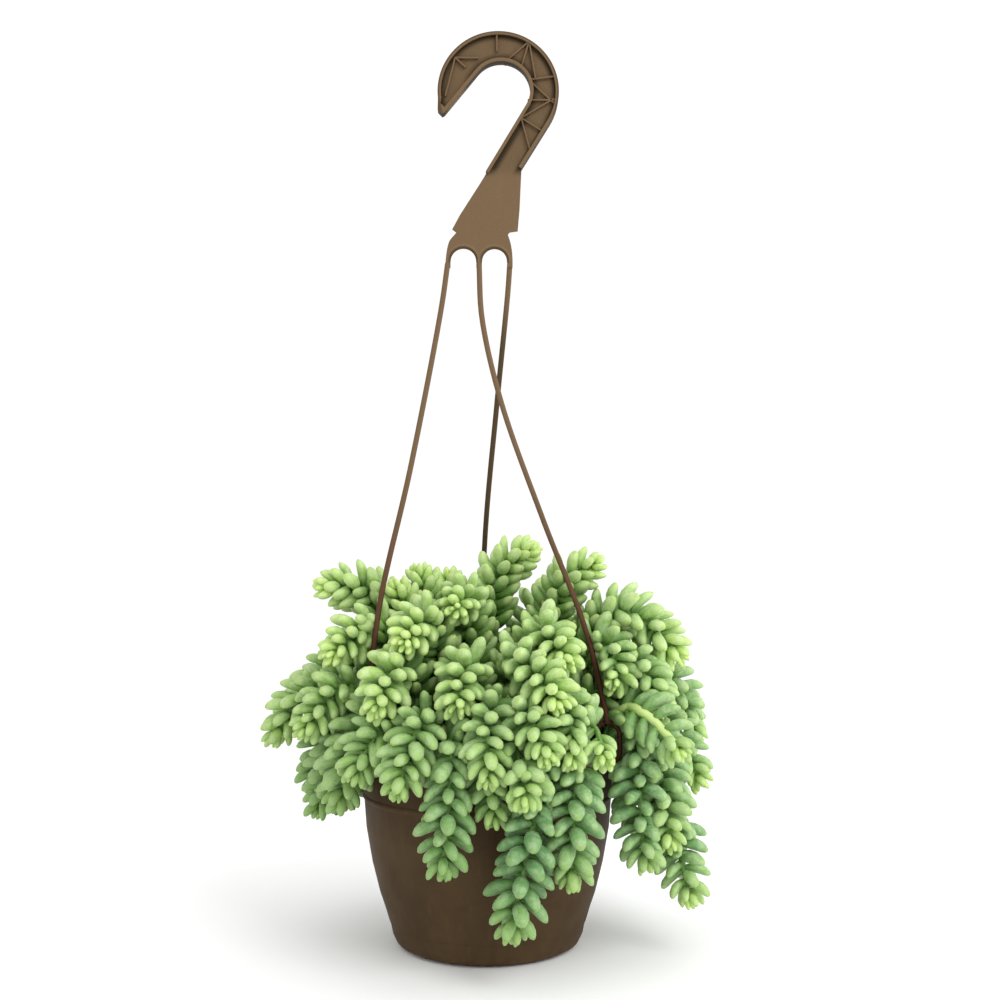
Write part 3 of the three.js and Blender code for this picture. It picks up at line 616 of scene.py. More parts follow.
def hook_recess_shade(finish):
    """How much painted shade a point gets in the corners of the hook's recess, from 0 on its front edges to
    1.
    """
    x, y, z = (finish.axis(name) for name in "XYZ")
    by_inner = 1 - finish.step(finish.away_from(*HOOK_INNER[:2]), *RECESS_INSIDE)
    by_outer = finish.step(finish.away_from(*HOOK_OUTER[:2]), *RECESS_OUTSIDE)
    lean = math.radians(SHANK_ANGLE)
    edge_x, edge_z = SHANK_END["inner"]
    start = (edge_x * math.cos(lean) + edge_z * math.sin(lean)) * MM
    across = x * math.cos(lean) + z * math.sin(lean) - start
    near, far = (finish.step(across, *edge) for edge in RECESS_SHANK)
    by_shank = (1 - near).maths("MAXIMUM", far)
    curve = by_inner.maths("MAXIMUM", by_outer)
    shank = 1 - finish.step(z, *SHANK_TO_CURVE)
    corner = finish.node("Mix", {"data_type": "FLOAT"}, {0: shank, 2: curve, 3: by_shank})
    deep = 1 - finish.step(y.maths("ABSOLUTE"), *RECESS_DEPTH)
    return finish.step(z, *RECESS_HEIGHT) * deep * (0.16 + 0.84 * corner)


def arch_edge(finish, start, end):
    """A band along both arches of the plate, from start to end millimetres outside their openings."""
    bands = []
    for x, z, radius in ARCHES:
        inner, outer = (radius + start) * MM, (radius + end) * MM
        bands.append(finish.band(finish.away_from(x, z), inner - 0.0005, inner, outer, outer + 0.0009))
    return bands[0].maths("MAXIMUM", bands[1]) * finish.step(finish.axis("Z"), *ARCH_HEIGHT)


def hanger_finish(colours):
    """The hanger's plastic, paler at the top and darker down its arms, with painted shade behind the plate,
    in the hook's recess, along its brink and under the arches, and a painted highlight on the arches' lips.
    """
    finish, tone = plastic_finish("hanger_plastic", colours.arms, colours.wear_and_highlight, colours.shaded, 2100, 0.4)
    height, depth = finish.axis("Z"), finish.axis("Y")
    from_middle = finish.away_from(*HOOK_OUTER[:2])
    # Painted shade along the outer brink of the hook's flange, round its curve.
    brink_shade = finish.step(from_middle, *BRINK) * finish.band(height, *BRINK_HEIGHT)
    return finish.dress(Base_Color=finish.coats(
        tone,
        (finish.step(height, *ARM_TO_PLATE) * 0.78, colours.plate),
        # Painted shade on the parts behind the plate: the back arm and its clip.
        (finish.step(depth, *BACK_ARM_DEPTH) * 0.62, colours.recess_shade),
        # Painted shade in the corners of the hook's recess.
        (hook_recess_shade(finish) * 0.92, colours.recess_shade),
        (brink_shade * 0.55, colours.recess_shade),
        # Painted shade under the arches, then a painted highlight on their lips.
        (arch_edge(finish, -1, 0.8) * 0.6, colours.recess_shade),
        (arch_edge(finish, 1.7, 2.3) * 0.25, colours.wear_and_highlight),
    ))


def soil_finish(colours):
    """Potting mix: dark peat with brown fibre and a few pale grains."""
    finish = Finish("potting_mix", roughness=0.95)
    where = finish.place()
    crumbs = finish.noise(where, 420, 5.0, 0.7)
    fibre = finish.noise(finish.stretched(where, 1.0, 0.25, 1.0), 800, 3.0)
    cells = finish.node("TexVoronoi", inputs={"Vector": where, "Scale": 330.0})
    grains = (1 - finish.step(cells, 0.1, 0.16)) * finish.step(crumbs, 0.5, 0.6)
    tone = finish.coats(
        colours.peat, (finish.step(crumbs, 0.3, 0.7), colours.fibre),
        (finish.step(fibre, 0.6, 0.75) * 0.5, colours.bark), (grains, colours.grain),
    )
    return finish.dress(Base_Color=tone, Normal=finish.bump(crumbs, 0.002, 0.9))


def floor_finish(colour):
    """A plain pale floor with the faintest unevenness."""
    finish = Finish("pale_floor", roughness=0.7, Specular_IOR_Level=0.2)
    cloud = finish.noise(finish.place(), 3.0)
    return finish.dress(Base_Color=finish.mix(cloud * 0.03, colour, (0.9, 0.9, 0.9, 1)))


# ---- What a user can change ----


def length(name, value, description):
    return FloatProperty(
        name=name, description=description, default=value, min=0.0, unit="LENGTH", precision=4
    )


def angle(name, degrees, description):
    return FloatProperty(
        name=name, description=description, default=math.radians(degrees), unit="ROTATION", subtype="ANGLE"
    )


def power(name, watts, description):
    return FloatProperty(name=name, description=description, default=watts, unit="POWER")


def colour(name, code, description):
    return FloatVectorProperty(
        name=name, description=description, default=shade(code), size=4, min=0.0, max=1.0, subtype="COLOR"
    )


class StageSettings(bpy.types.PropertyGroup):
    """The photographer's side: where the camera and the lights are."""

    camera_place: FloatVectorProperty(
        name="Camera place", description="Where the camera stands", default=(0.0074, -0.799, 0.2335),
        size=3, subtype="TRANSLATION", unit="LENGTH",
    )
    camera_tilt: angle("Camera tilt", 2.4, "How far the camera looks up from level")
    lens: FloatProperty(
        name="Lens", description="Focal length for a 36 mm frame", default=46.8, unit="CAMERA"
    )
    floor: colour("Floor", "ffffff", "Colour of the floor")
    sky: FloatProperty(name="Surroundings", description="Strength of the white surroundings", default=1.03)
    key: power("Key light", 11.0, "Power of the soft light above the camera")
    left: power("Left light", 0.6, "Power of the soft light at the left")
    right: power("Right light", 3.0, "Power of the soft light at the right")


class PotSettings(bpy.types.PropertyGroup):
    """The basket pot."""

    sides: IntProperty(name="Sides", description="Faces around the pot", default=120, min=24)
    wall: length("Wall", POT_WALL * MM, "Thickness of the pot's wall")
    body: colour("Body", "4b3b28", "Colour of the pot")
    shaded: colour("Clouding", "3d2e1f", "Darker colour that clouds the pot")
    # Worn edges and specks, and also the faint painted highlight on the raised line.
    wear_and_highlight: colour("Worn edges", "5f4930", "Colour of rubbed edges and specks")


class SoilSettings(bpy.types.PropertyGroup):
    """The potting mix."""

    crumbs: IntProperty(name="Crumbs", description="Bits of bark and grit on the soil", default=260, min=1)
    lumps: length("Lumps", 0.0022, "How far the soil's lumps stand out")
    peat: colour("Peat", "20170f", "Darkest colour of the soil")
    fibre: colour("Fibre", "3a291b", "Brown of the soil's fibres")
    bark: colour("Bark", "5a3f28", "Colour of bits of bark")
    grain: colour("Grit", "b7ab98", "Colour of pale grains")


class HangerSettings(bpy.types.PropertyGroup):
    """The hanger with its hook, plate, arms and clips."""

    arm_width: length("Arm width", ARM_WIDTH * MM, "Width of an arm")
    arm_thickness: length("Arm thickness", ARM_THICKNESS * MM, "Thickness of an arm")
    rod: length("Clip rod", CLIP_ROD * MM, "Thickness of a clip's bent rod")
    edge: length("Edge rounding", 0.0003, "Rounding of the moulding's edges")
    plate: colour("Plate", "705d44", "Colour of the hook and the plate")
    arms: colour("Arms", "503127", "Colour of the arms where they end")
    shaded: colour("Clouding", "3f2b19", "Darker colour that clouds the plastic")
    # Worn edges and specks, and also the painted highlight on the arches' lips.
    wear_and_highlight: colour("Worn edges", "876d50", "Colour of rubbed edges and specks")
    # Painted shade: deep in the hook's recess, on the parts behind the plate, along the flange's outer brink
    # and round the arches.
    recess_shade: colour("Recess", "2a2216", "Colour deep in the hook's recess and under the arches")


class FoliageSettings(bpy.types.PropertyGroup):
    """The leafy stems."""

    seed: IntProperty(name="Seed", description="Which plant of the many possible ones", default=7)
    leaf_length: length("Leaf length", 0.0195, "From the middle of the stem to the tip of a grown leaf")
    leaf_width: length("Leaf width", 0.0085, "Width of a grown leaf")
    leaf_thickness: length("Leaf thickness", 0.0073, "Thickness of a grown leaf")
    leaf_gap: length("Leaf gap", 0.0014, "Distance along the stem from one grown leaf to the next")
    tip_gap: length("Tip gap", 0.0007, "The same at the stem's tip")
    spread: angle("Spread", 64, "Angle between a grown leaf and its stem")
    tip_spread: angle("Tip spread", 20, "Angle between the youngest leaves and their stem")
    young_length: length("Young length", 0.0075, "How far from its tip a stem's leaves are young")
    stem_radius: length("Stem radius", 0.0019, "Radius of a stem")
    young_leaf: colour("Young leaf", "c9e37e", "Colour of the leaves at a tip")
    grown_leaf: colour("Grown leaf", "9bbe69", "Colour of grown leaves near the top")
    hanging_leaf: colour("Hanging leaf", "78a86f", "Colour of grown leaves on hanging stems")
    pale_leaf: colour("Pale leaf", "bdd3aa", "Colour that some leaves lean to")
    bloom: colour("Bloom", "cbdfb2", "Colour of the waxy bloom")
    rubbed_leaf: colour("Rubbed leaf", "7d9f58", "Colour where the bloom is rubbed off")
    # Painted shade on leaves deep inside the plant.
    shaded_leaf: colour("Shaded leaf", "4a7a1a", "Colour of leaves deep inside the plant")
    # Painted shade at a leaf's root, over the root's own darker green.
    leaf_root_shade: colour("Leaf root", "548a20", "Colour where a leaf leaves the stem")
    # A leaf end's paler colour with a painted highlight on it.
    pale_lit_leaf_end: colour("Leaf end", "cbdd9c", "Colour of a leaf's end")
    leaf_point: colour("Leaf point", "a2bd55", "Colour of a leaf's point")
    # Painted shade over leaves low on the plant and towards its left.
    low_leaf_shade: colour("Low leaf", "a1baa8", "Tint of the older leaves low on the plant")
    dried_dark: colour("Dried leaf, dark", "5b4630", "Darker colour of dead leaves")
    dried_pale: colour("Dried leaf, pale", "b39a70", "Paler colour of dead leaves")


# ---- Modelling by hand: small steps that several pieces use ----


def clear_selection():
    if bpy.context.object and bpy.context.object.mode != "OBJECT":
        bpy.ops.object.mode_set(mode="OBJECT")
    bpy.ops.object.select_all(action="DESELECT")


def take(*pieces):
    """Selects pieces, with the first one active."""
    clear_selection()
    for piece in pieces:
        piece.select_set(True)
    bpy.context.view_layer.objects.active = pieces[0]


def join(pieces, name):
    """Joins pieces into one and names it."""
    take(*pieces)
    bpy.ops.object.join()
    piece = bpy.context.object
    piece.name = piece.data.name = name
    return piece


def settle(piece):
    """Puts a piece's place and turn into its mesh, so that its object is at the origin."""
    take(piece)
    bpy.ops.object.transform_apply(location=True, rotation=True, scale=True)


def apply_modifier(piece, kind, **settings):
    take(piece)
    modifier = piece.modifiers.new(kind.title(), kind)
    for name, value in settings.items():
        setattr(modifier, name, value)
    bpy.ops.object.modifier_apply(modifier=modifier.name)


def added(primitive, **settings):
    """Adds a primitive with nothing else selected and returns it."""
    clear_selection()
    primitive(**settings)
    return bpy.context.object


def start_shaping(kind="EDGE"):
    """Goes into edit mode with everything selected."""
    bpy.ops.object.mode_set(mode="EDIT")
    bpy.ops.mesh.select_mode(type=kind)
    bpy.ops.mesh.select_all(action="SELECT")


def close_ends():
    """Closes both ends of a drawn out ring, turns its faces outwards and leaves edit mode."""
    bpy.ops.mesh.select_all(action="SELECT")
    bpy.ops.mesh.fill_holes(sides=0)
    bpy.ops.mesh.select_all(action="SELECT")
    bpy.ops.mesh.normals_make_consistent(inside=False)
    bpy.ops.object.mode_set(mode="OBJECT")


def pick(test):
    """Selects the vertices, in edit mode, that pass a test of their place."""
    mesh = bmesh.from_edit_mesh(bpy.context.object.data)
    for vertex in mesh.verts:
        vertex.select = test(vertex.co)
    mesh.select_flush_mode()
    bmesh.update_edit_mesh(bpy.context.object.data)


def finish_piece(piece, name, material, smooth_under, node):
    """Smooths, names and dresses a finished piece, hangs it on the body it rides on and hides the imported
    part it stands for.
    """
    take(piece)
    bpy.ops.object.shade_smooth_by_angle(angle=math.radians(smooth_under))
    dress_piece(piece, name, material, node)


def dress_piece(piece, name, material, node):
    piece.name = piece.data.name = name
    piece.data.materials.clear()
    piece.data.materials.append(material)
    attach(piece, "root")
    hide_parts(node)


def rounded(profile, rounding, steps=3):
    """A profile with its corners rounded, as (radius, height) points."""
    points = [np.array(point, float) for point in profile]
    out = [points[0]]
    for before, corner, after in zip(points, points[1:], points[2:]):
        back, on = before - corner, after - corner
        reach = min(rounding, np.linalg.norm(back) / 2.2, np.linalg.norm(on) / 2.2)
        start = corner + back * reach / np.linalg.norm(back)
        end = corner + on * reach / np.linalg.norm(on)
        out += corner_curve(start, corner, end, steps)
    return [*out, points[-1]]


def turn_up(profile, sides):
    """Raises a ring through a profile of (radius, height) in millimetres, then closes both its ends."""
    (radius, height), rest = profile[0], profile[1:]
    circle = bpy.ops.mesh.primitive_circle_add
    piece = added(circle, vertices=sides, radius=radius * MM, location=(0, 0, 0))
    start_shaping()
    bpy.ops.transform.translate(value=(0, 0, height * MM))
    for r, z in rest:
        bpy.ops.mesh.extrude_region_move(TRANSFORM_OT_translate={"value": (0, 0, (z - height) * MM)})
        bpy.ops.transform.resize(value=(r / radius, r / radius, 1), center_override=(0, 0, z * MM))
        radius, height = r, z
    close_ends()
    return piece


def curve_through(places, radii=None):
    """A curve object of one line through places in metres, closed where it has no radii."""
    drawn = added(bpy.ops.curve.primitive_nurbs_path_add, location=(0, 0, 0))
    curve = drawn.data
    curve.splines.clear()
    curve.dimensions = "2D" if radii is None else "3D"
    spline = curve.splines.new("POLY")
    spline.points.add(len(places) - 1)
    spline.use_cyclic_u = radii is None
    for i, (point, place) in enumerate(zip(spline.points, places)):
        point.co = (*place, 1)
        point.radius = 1 if radii is None else radii[i] * MM
    return drawn, curve


def made_mesh(drawn, name):
    """A curve object turned into a mesh."""
    take(drawn)
    bpy.ops.object.convert(target="MESH")
    piece = bpy.context.object
    piece.name = name
    return piece


def bent_rod(line, radii, name, resolution=3):
    """A round rod along a line of points in millimetres, with a radius at each point, as a mesh."""
    drawn, curve = curve_through([np.asarray(place) * MM for place in line], radii)
    curve.twist_mode = "MINIMUM"
    curve.bevel_depth = 1.0
    curve.bevel_resolution = resolution
    curve.use_fill_caps = True
    return made_mesh(drawn, name)


def flat_piece(outline, thickness, edge, name):
    """An upright plate in the XZ plane, cut to a closed outline in millimetres, with rounded edges."""
    drawn, curve = curve_through([(x * MM, z * MM, 0) for x, z in outline])
    curve.fill_mode = "BOTH"
    curve.bevel_depth = edge
    curve.bevel_resolution = 1
    curve.offset = -edge
    curve.extrude = thickness * MM / 2 - edge
    plate = made_mesh(drawn, name)
    plate.rotation_euler = (math.pi / 2, 0, 0)
    settle(plate)
    return plate


def copied(pattern, place):
    """A copy of a piece with its own mesh, put in its place."""
    copy = pattern.copy()
    copy.data = pattern.data.copy()
    copy.data.transform(place)
    bpy.context.scene.collection.objects.link(copy)
    return copy


def mark(piece, **values):
    """Writes values that a finish reads onto all of a piece's vertices."""
    count = len(piece.data.vertices)
    for name, value in values.items():
        attribute = piece.data.attributes.get(name) or piece.data.attributes.new(name, "FLOAT", "POINT")
        attribute.data.foreach_set("value", np.full(count, value, np.float32))


def mark_grain(piece, places):
    """Writes the places from which a leaf's pattern is taken, so that it stays with its leaf."""
    attributes = piece.data.attributes
    grain = attributes.get("grain") or attributes.new("grain", "FLOAT_VECTOR", "POINT")
    grain.data.foreach_set("vector", places.astype(np.float32).ravel())


def places_of(piece):
    """The places of a piece's vertices."""
    places = np.empty(3 * len(piece.data.vertices), np.float32)
    piece.data.vertices.foreach_get("co", places)
    return places.reshape(-1, 3)


# ---- The stage ----


class MakeStage(bpy.types.Operator):
    """Set up the floor, the soft lights and the camera"""

    bl_idname = "burro.make_stage"
    bl_label = "Stage"

    # Each light's place and size.
    LIGHTS = {
        "key": ((0.75, -1.1, 1.15), 0.8), "left": ((-1.4, -0.2, 0.7), 0.8), "right": ((1.4, -0.4, 0.6), 0.8),
    }
    LIT_PLACE = Vector((0, 0, 0.2))
    FLOOR_SIZE = 14
    FLOOR_GAP = 0.0004

    def execute(self, context):
        settings = context.scene.burro_stage
        self.lay_floor(settings)
        self.hang_lights(settings)
        self.stand_camera(settings)
        return {"FINISHED"}

    def lay_floor(self, settings):
        floor = added(bpy.ops.mesh.primitive_plane_add, size=self.FLOOR_SIZE, location=(0, 0, 0))
        floor.name = "studio_floor"
        floor.data.materials.append(floor_finish(settings.floor))
        start_shaping()
        bpy.ops.transform.translate(value=(0, 0, -self.FLOOR_GAP))
        bpy.ops.object.mode_set(mode="OBJECT")

    def hang_lights(self, settings):
        world = bpy.data.worlds.new("white_surroundings")
        bpy.context.scene.world = world
        world.use_nodes = True
        background = world.node_tree.nodes["Background"]
        background.inputs["Color"].default_value = (1, 1, 1, 1)
        background.inputs["Strength"].default_value = settings.sky
        for name, (place, size) in self.LIGHTS.items():
            light = added(bpy.ops.object.light_add, type="AREA", location=place)
            light.name = name + "_light"
            light.data.size = size
            light.data.energy = getattr(settings, name)
            light.rotation_euler = (self.LIT_PLACE - Vector(place)).to_track_quat("-Z", "Y").to_euler()

    def stand_camera(self, settings):
        camera = added(bpy.ops.object.camera_add, location=settings.camera_place)
        camera.name = "photo_camera"
        camera.rotation_euler = (math.pi / 2 + settings.camera_tilt, 0, 0)
        camera.data.lens = settings.lens
        camera.data.sensor_width = 36
        bpy.context.scene.camera = camera
        bpy.context.scene.view_settings.view_transform = "Standard"


# ---- The pot and its soil ----


class MakePot(bpy.types.Operator):
    """Raise the pot from its foot to its rim, and drill its holes"""

    bl_idname = "burro.make_pot"
    bl_label = "Pot"

    AXIS_RADIUS = 2
    INSIDE_HEIGHTS = (118, 104, 90, 70, 60, 50, 41, 32, 26, 20, 14, 8, 4)
    FLOOR_RADII = (44, 30, AXIS_RADIUS)

    def execute(self, context):
        settings = context.scene.burro_pot
        wall = settings.wall / MM
        outside = rounded([(self.AXIS_RADIUS, 0), *POT_OUTSIDE], 0.5)
        inside = [(pot_radius(z) - wall, z) for z in self.INSIDE_HEIGHTS]
        floor = [(r, POT_FLOOR) for r in (pot_radius(POT_FLOOR) - wall - 1, *self.FLOOR_RADII)]
        pot = turn_up([*outside, *rounded(inside, 0.4, 2), *floor], settings.sides)
        drill = join(self.drills(), "pot_drill")
        apply_modifier(pot, "BOOLEAN", operation="DIFFERENCE", solver="EXACT", object=drill)
        bpy.data.objects.remove(drill)
        finish_piece(pot, "basket_pot", pot_finish(settings), 32, "pot")
        return {"FINISHED"}

    def drills(self):
        """Round cutters for the drain holes and for the holes that the hanger's clips go into."""
        cuts = []
        for i in range(DRAIN_HOLES):
            place = polar(DRAIN_CIRCLE, 360 * (i + 0.5) / DRAIN_HOLES, 0)
            cuts.append((place, (0, 0, 0), DRAIN_RADIUS, 0.02))
        for azimuth in CLIP_AZIMUTHS.values():
            place = polar(POT_OUTSIDE[-1][0], azimuth, PEG_HEIGHT)
            turn = (math.pi / 2, 0, math.radians(azimuth) + math.pi / 2)
            cuts.append((place, turn, CLIP_HOLE_RADIUS, 0.012))
        drills = []
        cylinder = bpy.ops.mesh.primitive_cylinder_add
        for place, turn, radius, depth in cuts:
            size = {"vertices": 20, "radius": radius * MM, "depth": depth}
            drills.append(added(cylinder, location=place * MM, rotation=turn, **size))
            settle(drills[-1])
        return drills


class MakeSoil(bpy.types.Operator):
    """Fill the pot with lumpy potting mix and scatter crumbs on it"""

    bl_idname = "burro.make_soil"
    bl_label = "Soil"

    GAP = 0.3
    WALL_HEIGHTS = (2.4, 14, 32, 50, 70, 90)
    SIDES = 110
    CRUMB = 0.0016
    CRUMB_SEED = 4
    SUNK = 0.6

    def execute(self, context):
        settings = context.scene.burro_soil
        wall = [(pot_radius(z) - POT_WALL - self.GAP, z) for z in self.WALL_HEIGHTS]
        edge = pot_radius(SOIL_EDGE) - POT_WALL - self.GAP
        top = [(edge * share, self.height_at(share)) for share in np.linspace(1, 0.04, 34)]
        soil = turn_up([(2, POT_FLOOR + self.GAP), *wall, *top], self.SIDES)
        lumps = bpy.data.textures.new("soil_lumps", "CLOUDS")
        lumps.noise_scale = 0.009
        lumps.noise_depth = 4
        take(soil)
        group = soil.vertex_groups.new(name="surface")
        on_top = [v.index for v in soil.data.vertices if v.co.z > (SOIL_EDGE + 0.05) * MM]
        group.add(on_top, 1.0, "REPLACE")
        apply_modifier(soil, "DISPLACE", texture=lumps, strength=settings.lumps, mid_level=0.75,
                       direction="Z", texture_coords="LOCAL", vertex_group="surface")
        soil = join([soil, *self.crumbs(settings, edge)], "potting_soil")
        finish_piece(soil, "potting_soil", soil_finish(settings), 50, "soil")
        return {"FINISHED"}

    def height_at(self, share):
        """The soil's height at a share of the way from its middle to its edge."""
        return SOIL_EDGE + (SOIL_TOP - SOIL_EDGE) * (1 - share)

    def crumbs(self, settings, edge):
        """Angular bits of bark and grit, half sunk in the soil."""
        crumb = added(bpy.ops.mesh.primitive_ico_sphere_add, subdivisions=1, radius=self.CRUMB)
        chance = random.Random(self.CRUMB_SEED)
        crumbs = []
        for _ in range(settings.crumbs):
            r, azimuth = edge * math.sqrt(chance.random()) * 0.97, chance.uniform(0, 2 * math.pi)
            height = self.height_at(r / edge) - self.SUNK
            place = Vector((r * math.cos(azimuth), r * math.sin(azimuth), height)) * MM
            turn = Matrix.Rotation(chance.uniform(0, 6), 4, Vector((1, chance.random(), chance.random())))
            sizes = [chance.uniform(*reach) for reach in ((0.4, 1.5), (0.4, 1.0), (0.3, 0.7))]
            crumbs.append(copied(crumb, Matrix.Translation(place) @ turn @ Matrix.Diagonal((*sizes, 1))))
        bpy.data.objects.remove(crumb)
        return crumbs


# ---- The hanger ----

# Small forms of the looks alone, in millimetres or as shares: how far an arch's lip lies outside its opening
# and how thick it is, how far a rib stays under the flange, how much more than its width a rounded arm is
# drawn, how a clip's rod slims down at its ends, and how an arm widens where it meets its clip.
LIP_OFFSET = 1.3
LIP_RADIUS = 1.45
LIP_END_RADIUS = 0.7
RIB_STEP = 1.2
ROUND_ALLOWANCE = 1.06
ROD_END = 0.62
ROD_TAPER = 3.2
WEDGE_LENGTH = 9
WEDGE_END = 1.4
WEDGE_WIDTHS = ([0, 0.35, 0.8, 1], [0.7, 0.95, 1.6, 1.35])


def arc(x, z, r, start, end, steps):
    """Points on an arc, from one angle in degrees to another."""
    angles = np.radians(np.linspace(start, end, steps))
    return [(x + r * math.cos(a), z + r * math.sin(a)) for a in angles]


def hook_outline(inset):
    """The hook's outline from its tip to its shank, or the same drawn inside by an inset."""
    (ox, oz, outer), (ix, iz, inner) = HOOK_OUTER, HOOK_INNER
    aside = (inset * math.cos(math.radians(SHANK_ANGLE)), inset * math.sin(math.radians(SHANK_ANGLE)))
    points = [(HOOK_TIP["inner"][0] + 0.1 * inset, HOOK_TIP["inner"][1] + 1.7 * inset)]
    points += arc(ix, iz, inner + inset, HOOK_TIP_ANGLES["inner"], SHANK_ANGLE, 34)
    points.append((SHANK_END["inner"][0] + aside[0], SHANK_END["inner"][1] + aside[1]))
    points.append((SHANK_END["outer"][0] - aside[0], SHANK_END["outer"][1] - aside[1]))
    points += arc(ox, oz, outer - inset, SHANK_ANGLE, HOOK_TIP_ANGLES["outer"], 52)
    points.append((HOOK_TIP["outer"][0] + 0.8 * inset, HOOK_TIP["outer"][1] + 1.8 * inset))
    if inset == 0:
        points.append(HOOK_TIP["point"])
    return points


def flange_outline():
    """The raised flange as one strip: round the hook's outline and back a flange's width inside it."""
    outside, inside = hook_outline(0), hook_outline(HOOK_FLANGE)
    outer_shank = outside.index(SHANK_END["outer"])
    outward = outside[outer_shank:] + outside[:outer_shank]
    inward = inside[outer_shank:] + inside[:outer_shank]
    return outward + inward[::-1]


class MakeHanger(bpy.types.Operator):
    """Mould the ribbed hook, the plate, the three arms and their clips"""

    bl_idname = "burro.make_hanger"
    bl_label = "Hanger"

    def execute(self, context):
        settings = context.scene.burro_hanger
        pieces = [
            flat_piece(hook_outline(0.25), HOOK_WEB, settings.edge, "hook_web"),
            flat_piece(flange_outline(), HOOK_DEPTH, settings.edge, "hook_flange"),
            flat_piece(self.plate_outline(), PLATE_THICKNESS, settings.edge, "hanger_plate"),
        ]
        pieces += [self.rib(*ends) for ends in RIBS]
        pieces += [self.lip(*arch) for arch in ARCHES]
        for side, azimuth in CLIP_AZIMUTHS.items():
            pieces.append(self.arm(arm_line(side), settings))
            pieces.append(self.clip(azimuth, settings))
            pieces.append(self.wedge(arm_line(side), settings))
        hanger = join(pieces, "basket_hanger")
        finish_piece(hanger, "basket_hanger", hanger_finish(settings), 40, "hanger")
        return {"FINISHED"}

    def plate_outline(self):
        """The plate's outline, down its left edge, over the arches and up its right edge."""
        def sweep(*corners):
            return [tuple(point) for point in corner_curve(*map(np.array, corners), 8)]

        points = list(PLATE_LEFT[:-1])
        points += sweep(PLATE_LEFT[-1], (-25.9, 424), (-26.6, PLATE_BOTTOM))
        for x, z, r in ARCHES:
            points.append((x - r, PLATE_BOTTOM))
            points += arc(x, z, r, 180, 0, 22)
            points.append((x + r, PLATE_BOTTOM))
        points += sweep((15.2, PLATE_BOTTOM), (15.6, 424), PLATE_RIGHT[0])
        return points + PLATE_RIGHT[1:]

    def lip(self, x, z, radius):
        """The thicker rounded edge that runs over an arch from one arm to the next."""
        reach = radius + LIP_OFFSET
        over = [(x - reach, PLATE_BOTTOM), *arc(x, z, reach, 180, 0, 25), (x + reach, PLATE_BOTTOM)]
        radii = [LIP_END_RADIUS, *[LIP_RADIUS] * (len(over) - 2), LIP_END_RADIUS]
        return bent_rod([(px, 0, pz) for px, pz in over], radii, "arch_lip")

    def rib(self, start, end):
        """A thin rib between two points of the hook's web."""
        (x0, z0), (x1, z1) = start, end
        rib = added(bpy.ops.mesh.primitive_cube_add, size=1, location=(0, 0, 0))
        rib.scale = (math.hypot(x1 - x0, z1 - z0) * MM, (HOOK_DEPTH - RIB_STEP) * MM, HOOK_RIB * MM)
        rib.rotation_euler = (0, -math.atan2(z1 - z0, x1 - x0), 0)
        rib.location = ((x0 + x1) / 2 * MM, 0, (z0 + z1) / 2 * MM)
        settle(rib)
        apply_modifier(rib, "BEVEL", width=0.0003, segments=2)
        return rib

    def arm(self, line, settings):
        """One arm: a flat rounded bar, drawn out section by section from the plate down to its clip."""
        stations = point_along(line, np.linspace(0, walked(line)[-1], 46)) * MM
        arm = added(bpy.ops.mesh.primitive_circle_add, vertices=16, radius=0.5)
        start_shaping()
        sizes = (settings.arm_width * ROUND_ALLOWANCE, settings.arm_thickness * ROUND_ALLOWANCE, 1)
        bpy.ops.transform.resize(value=sizes)
        bpy.ops.transform.translate(value=stations[0])
        for here, there in zip(stations, stations[1:]):
            bpy.ops.mesh.extrude_region_move(TRANSFORM_OT_translate={"value": there - here})
        close_ends()
        return arm

    def clip(self, azimuth, settings):
        """The bent rod that goes over the rim, slimmer at its two ends."""
        line = clip_line(azimuth)
        share = walked(line) / walked(line)[-1]
        slimmer = np.minimum(1, ROD_END + ROD_TAPER * np.minimum(share, 1 - share))
        radii = settings.rod / MM / 2 * slimmer
        return bent_rod(line, radii, "clip")

    def wedge(self, line, settings):
        """The widening where an arm meets its clip."""
        length = walked(line)[-1]
        steps = 8
        route = point_along(line, np.linspace(length - WEDGE_LENGTH, length + 0.5, steps))
        last = line[-1] - line[-2]
        route[-1] = line[-1] + last / np.linalg.norm(last) * WEDGE_END
        width = settings.arm_width / MM / 2
        radii = width * np.interp(np.linspace(0, 1, steps), *WEDGE_WIDTHS)
        return bent_rod(route, radii, "wedge")


# ---- The leafy stems ----

# One leaf, from its root to its point: how far along each ring lies and how wide it is there, as shares.
LEAF_PROFILE = [
    (0, 0), (0.03, 0.18), (0.16, 0.32), (0.36, 0.455), (0.6, 0.5), (0.79, 0.445), (0.92, 0.3), (0.98, 0.13),
    (1, 0),
]
# How a leaf leans towards its stem and bows away from it, in metres.
LEAF_LEAN = 0.0014
LEAF_BOW = 0.0021
# Where leaves are tried, as (share of the spread, share of the size): as they want to be, then closer and
# smaller.
LEAF_TRIES = [(1, 1), (0.8, 1), (1.18, 0.97), (0.65, 0.95), (0.5, 0.88), (0.8, 0.8), (0.5, 0.72)]
# Balls that stand for a leaf when it looks for room: how far along it, and their radius in millimetres.
LEAF_BALLS = [(0.4, 3.3), (0.64, 3.8), (0.88, 2.6)]
TIP_BALL = 2.5
SQUEEZE = 0.8
BALL_SHARE = 0.9
ROOM = 9.0
# How much of a stem has no leaves above its foot, near the pot's middle and near its rim.
INNER_FOOT = 26
BARE = {"inner": 46, "outer": 22}
YOUNG_SIZE = 0.36
WIDEST = 1.45
STEM_TAPER = (1.1, 0.7)
# What differs lower on the plant, from a height down over a span: leaves that hang spread wider and sit
# further apart, and low leaves get painted shade, more of it towards the left.
HANGING = (130, 50)
HANGING_SPREAD = 0.14
APART = (150, 70)
HANGING_GAP = 0.3
LOW_SHADE = (172, 100)
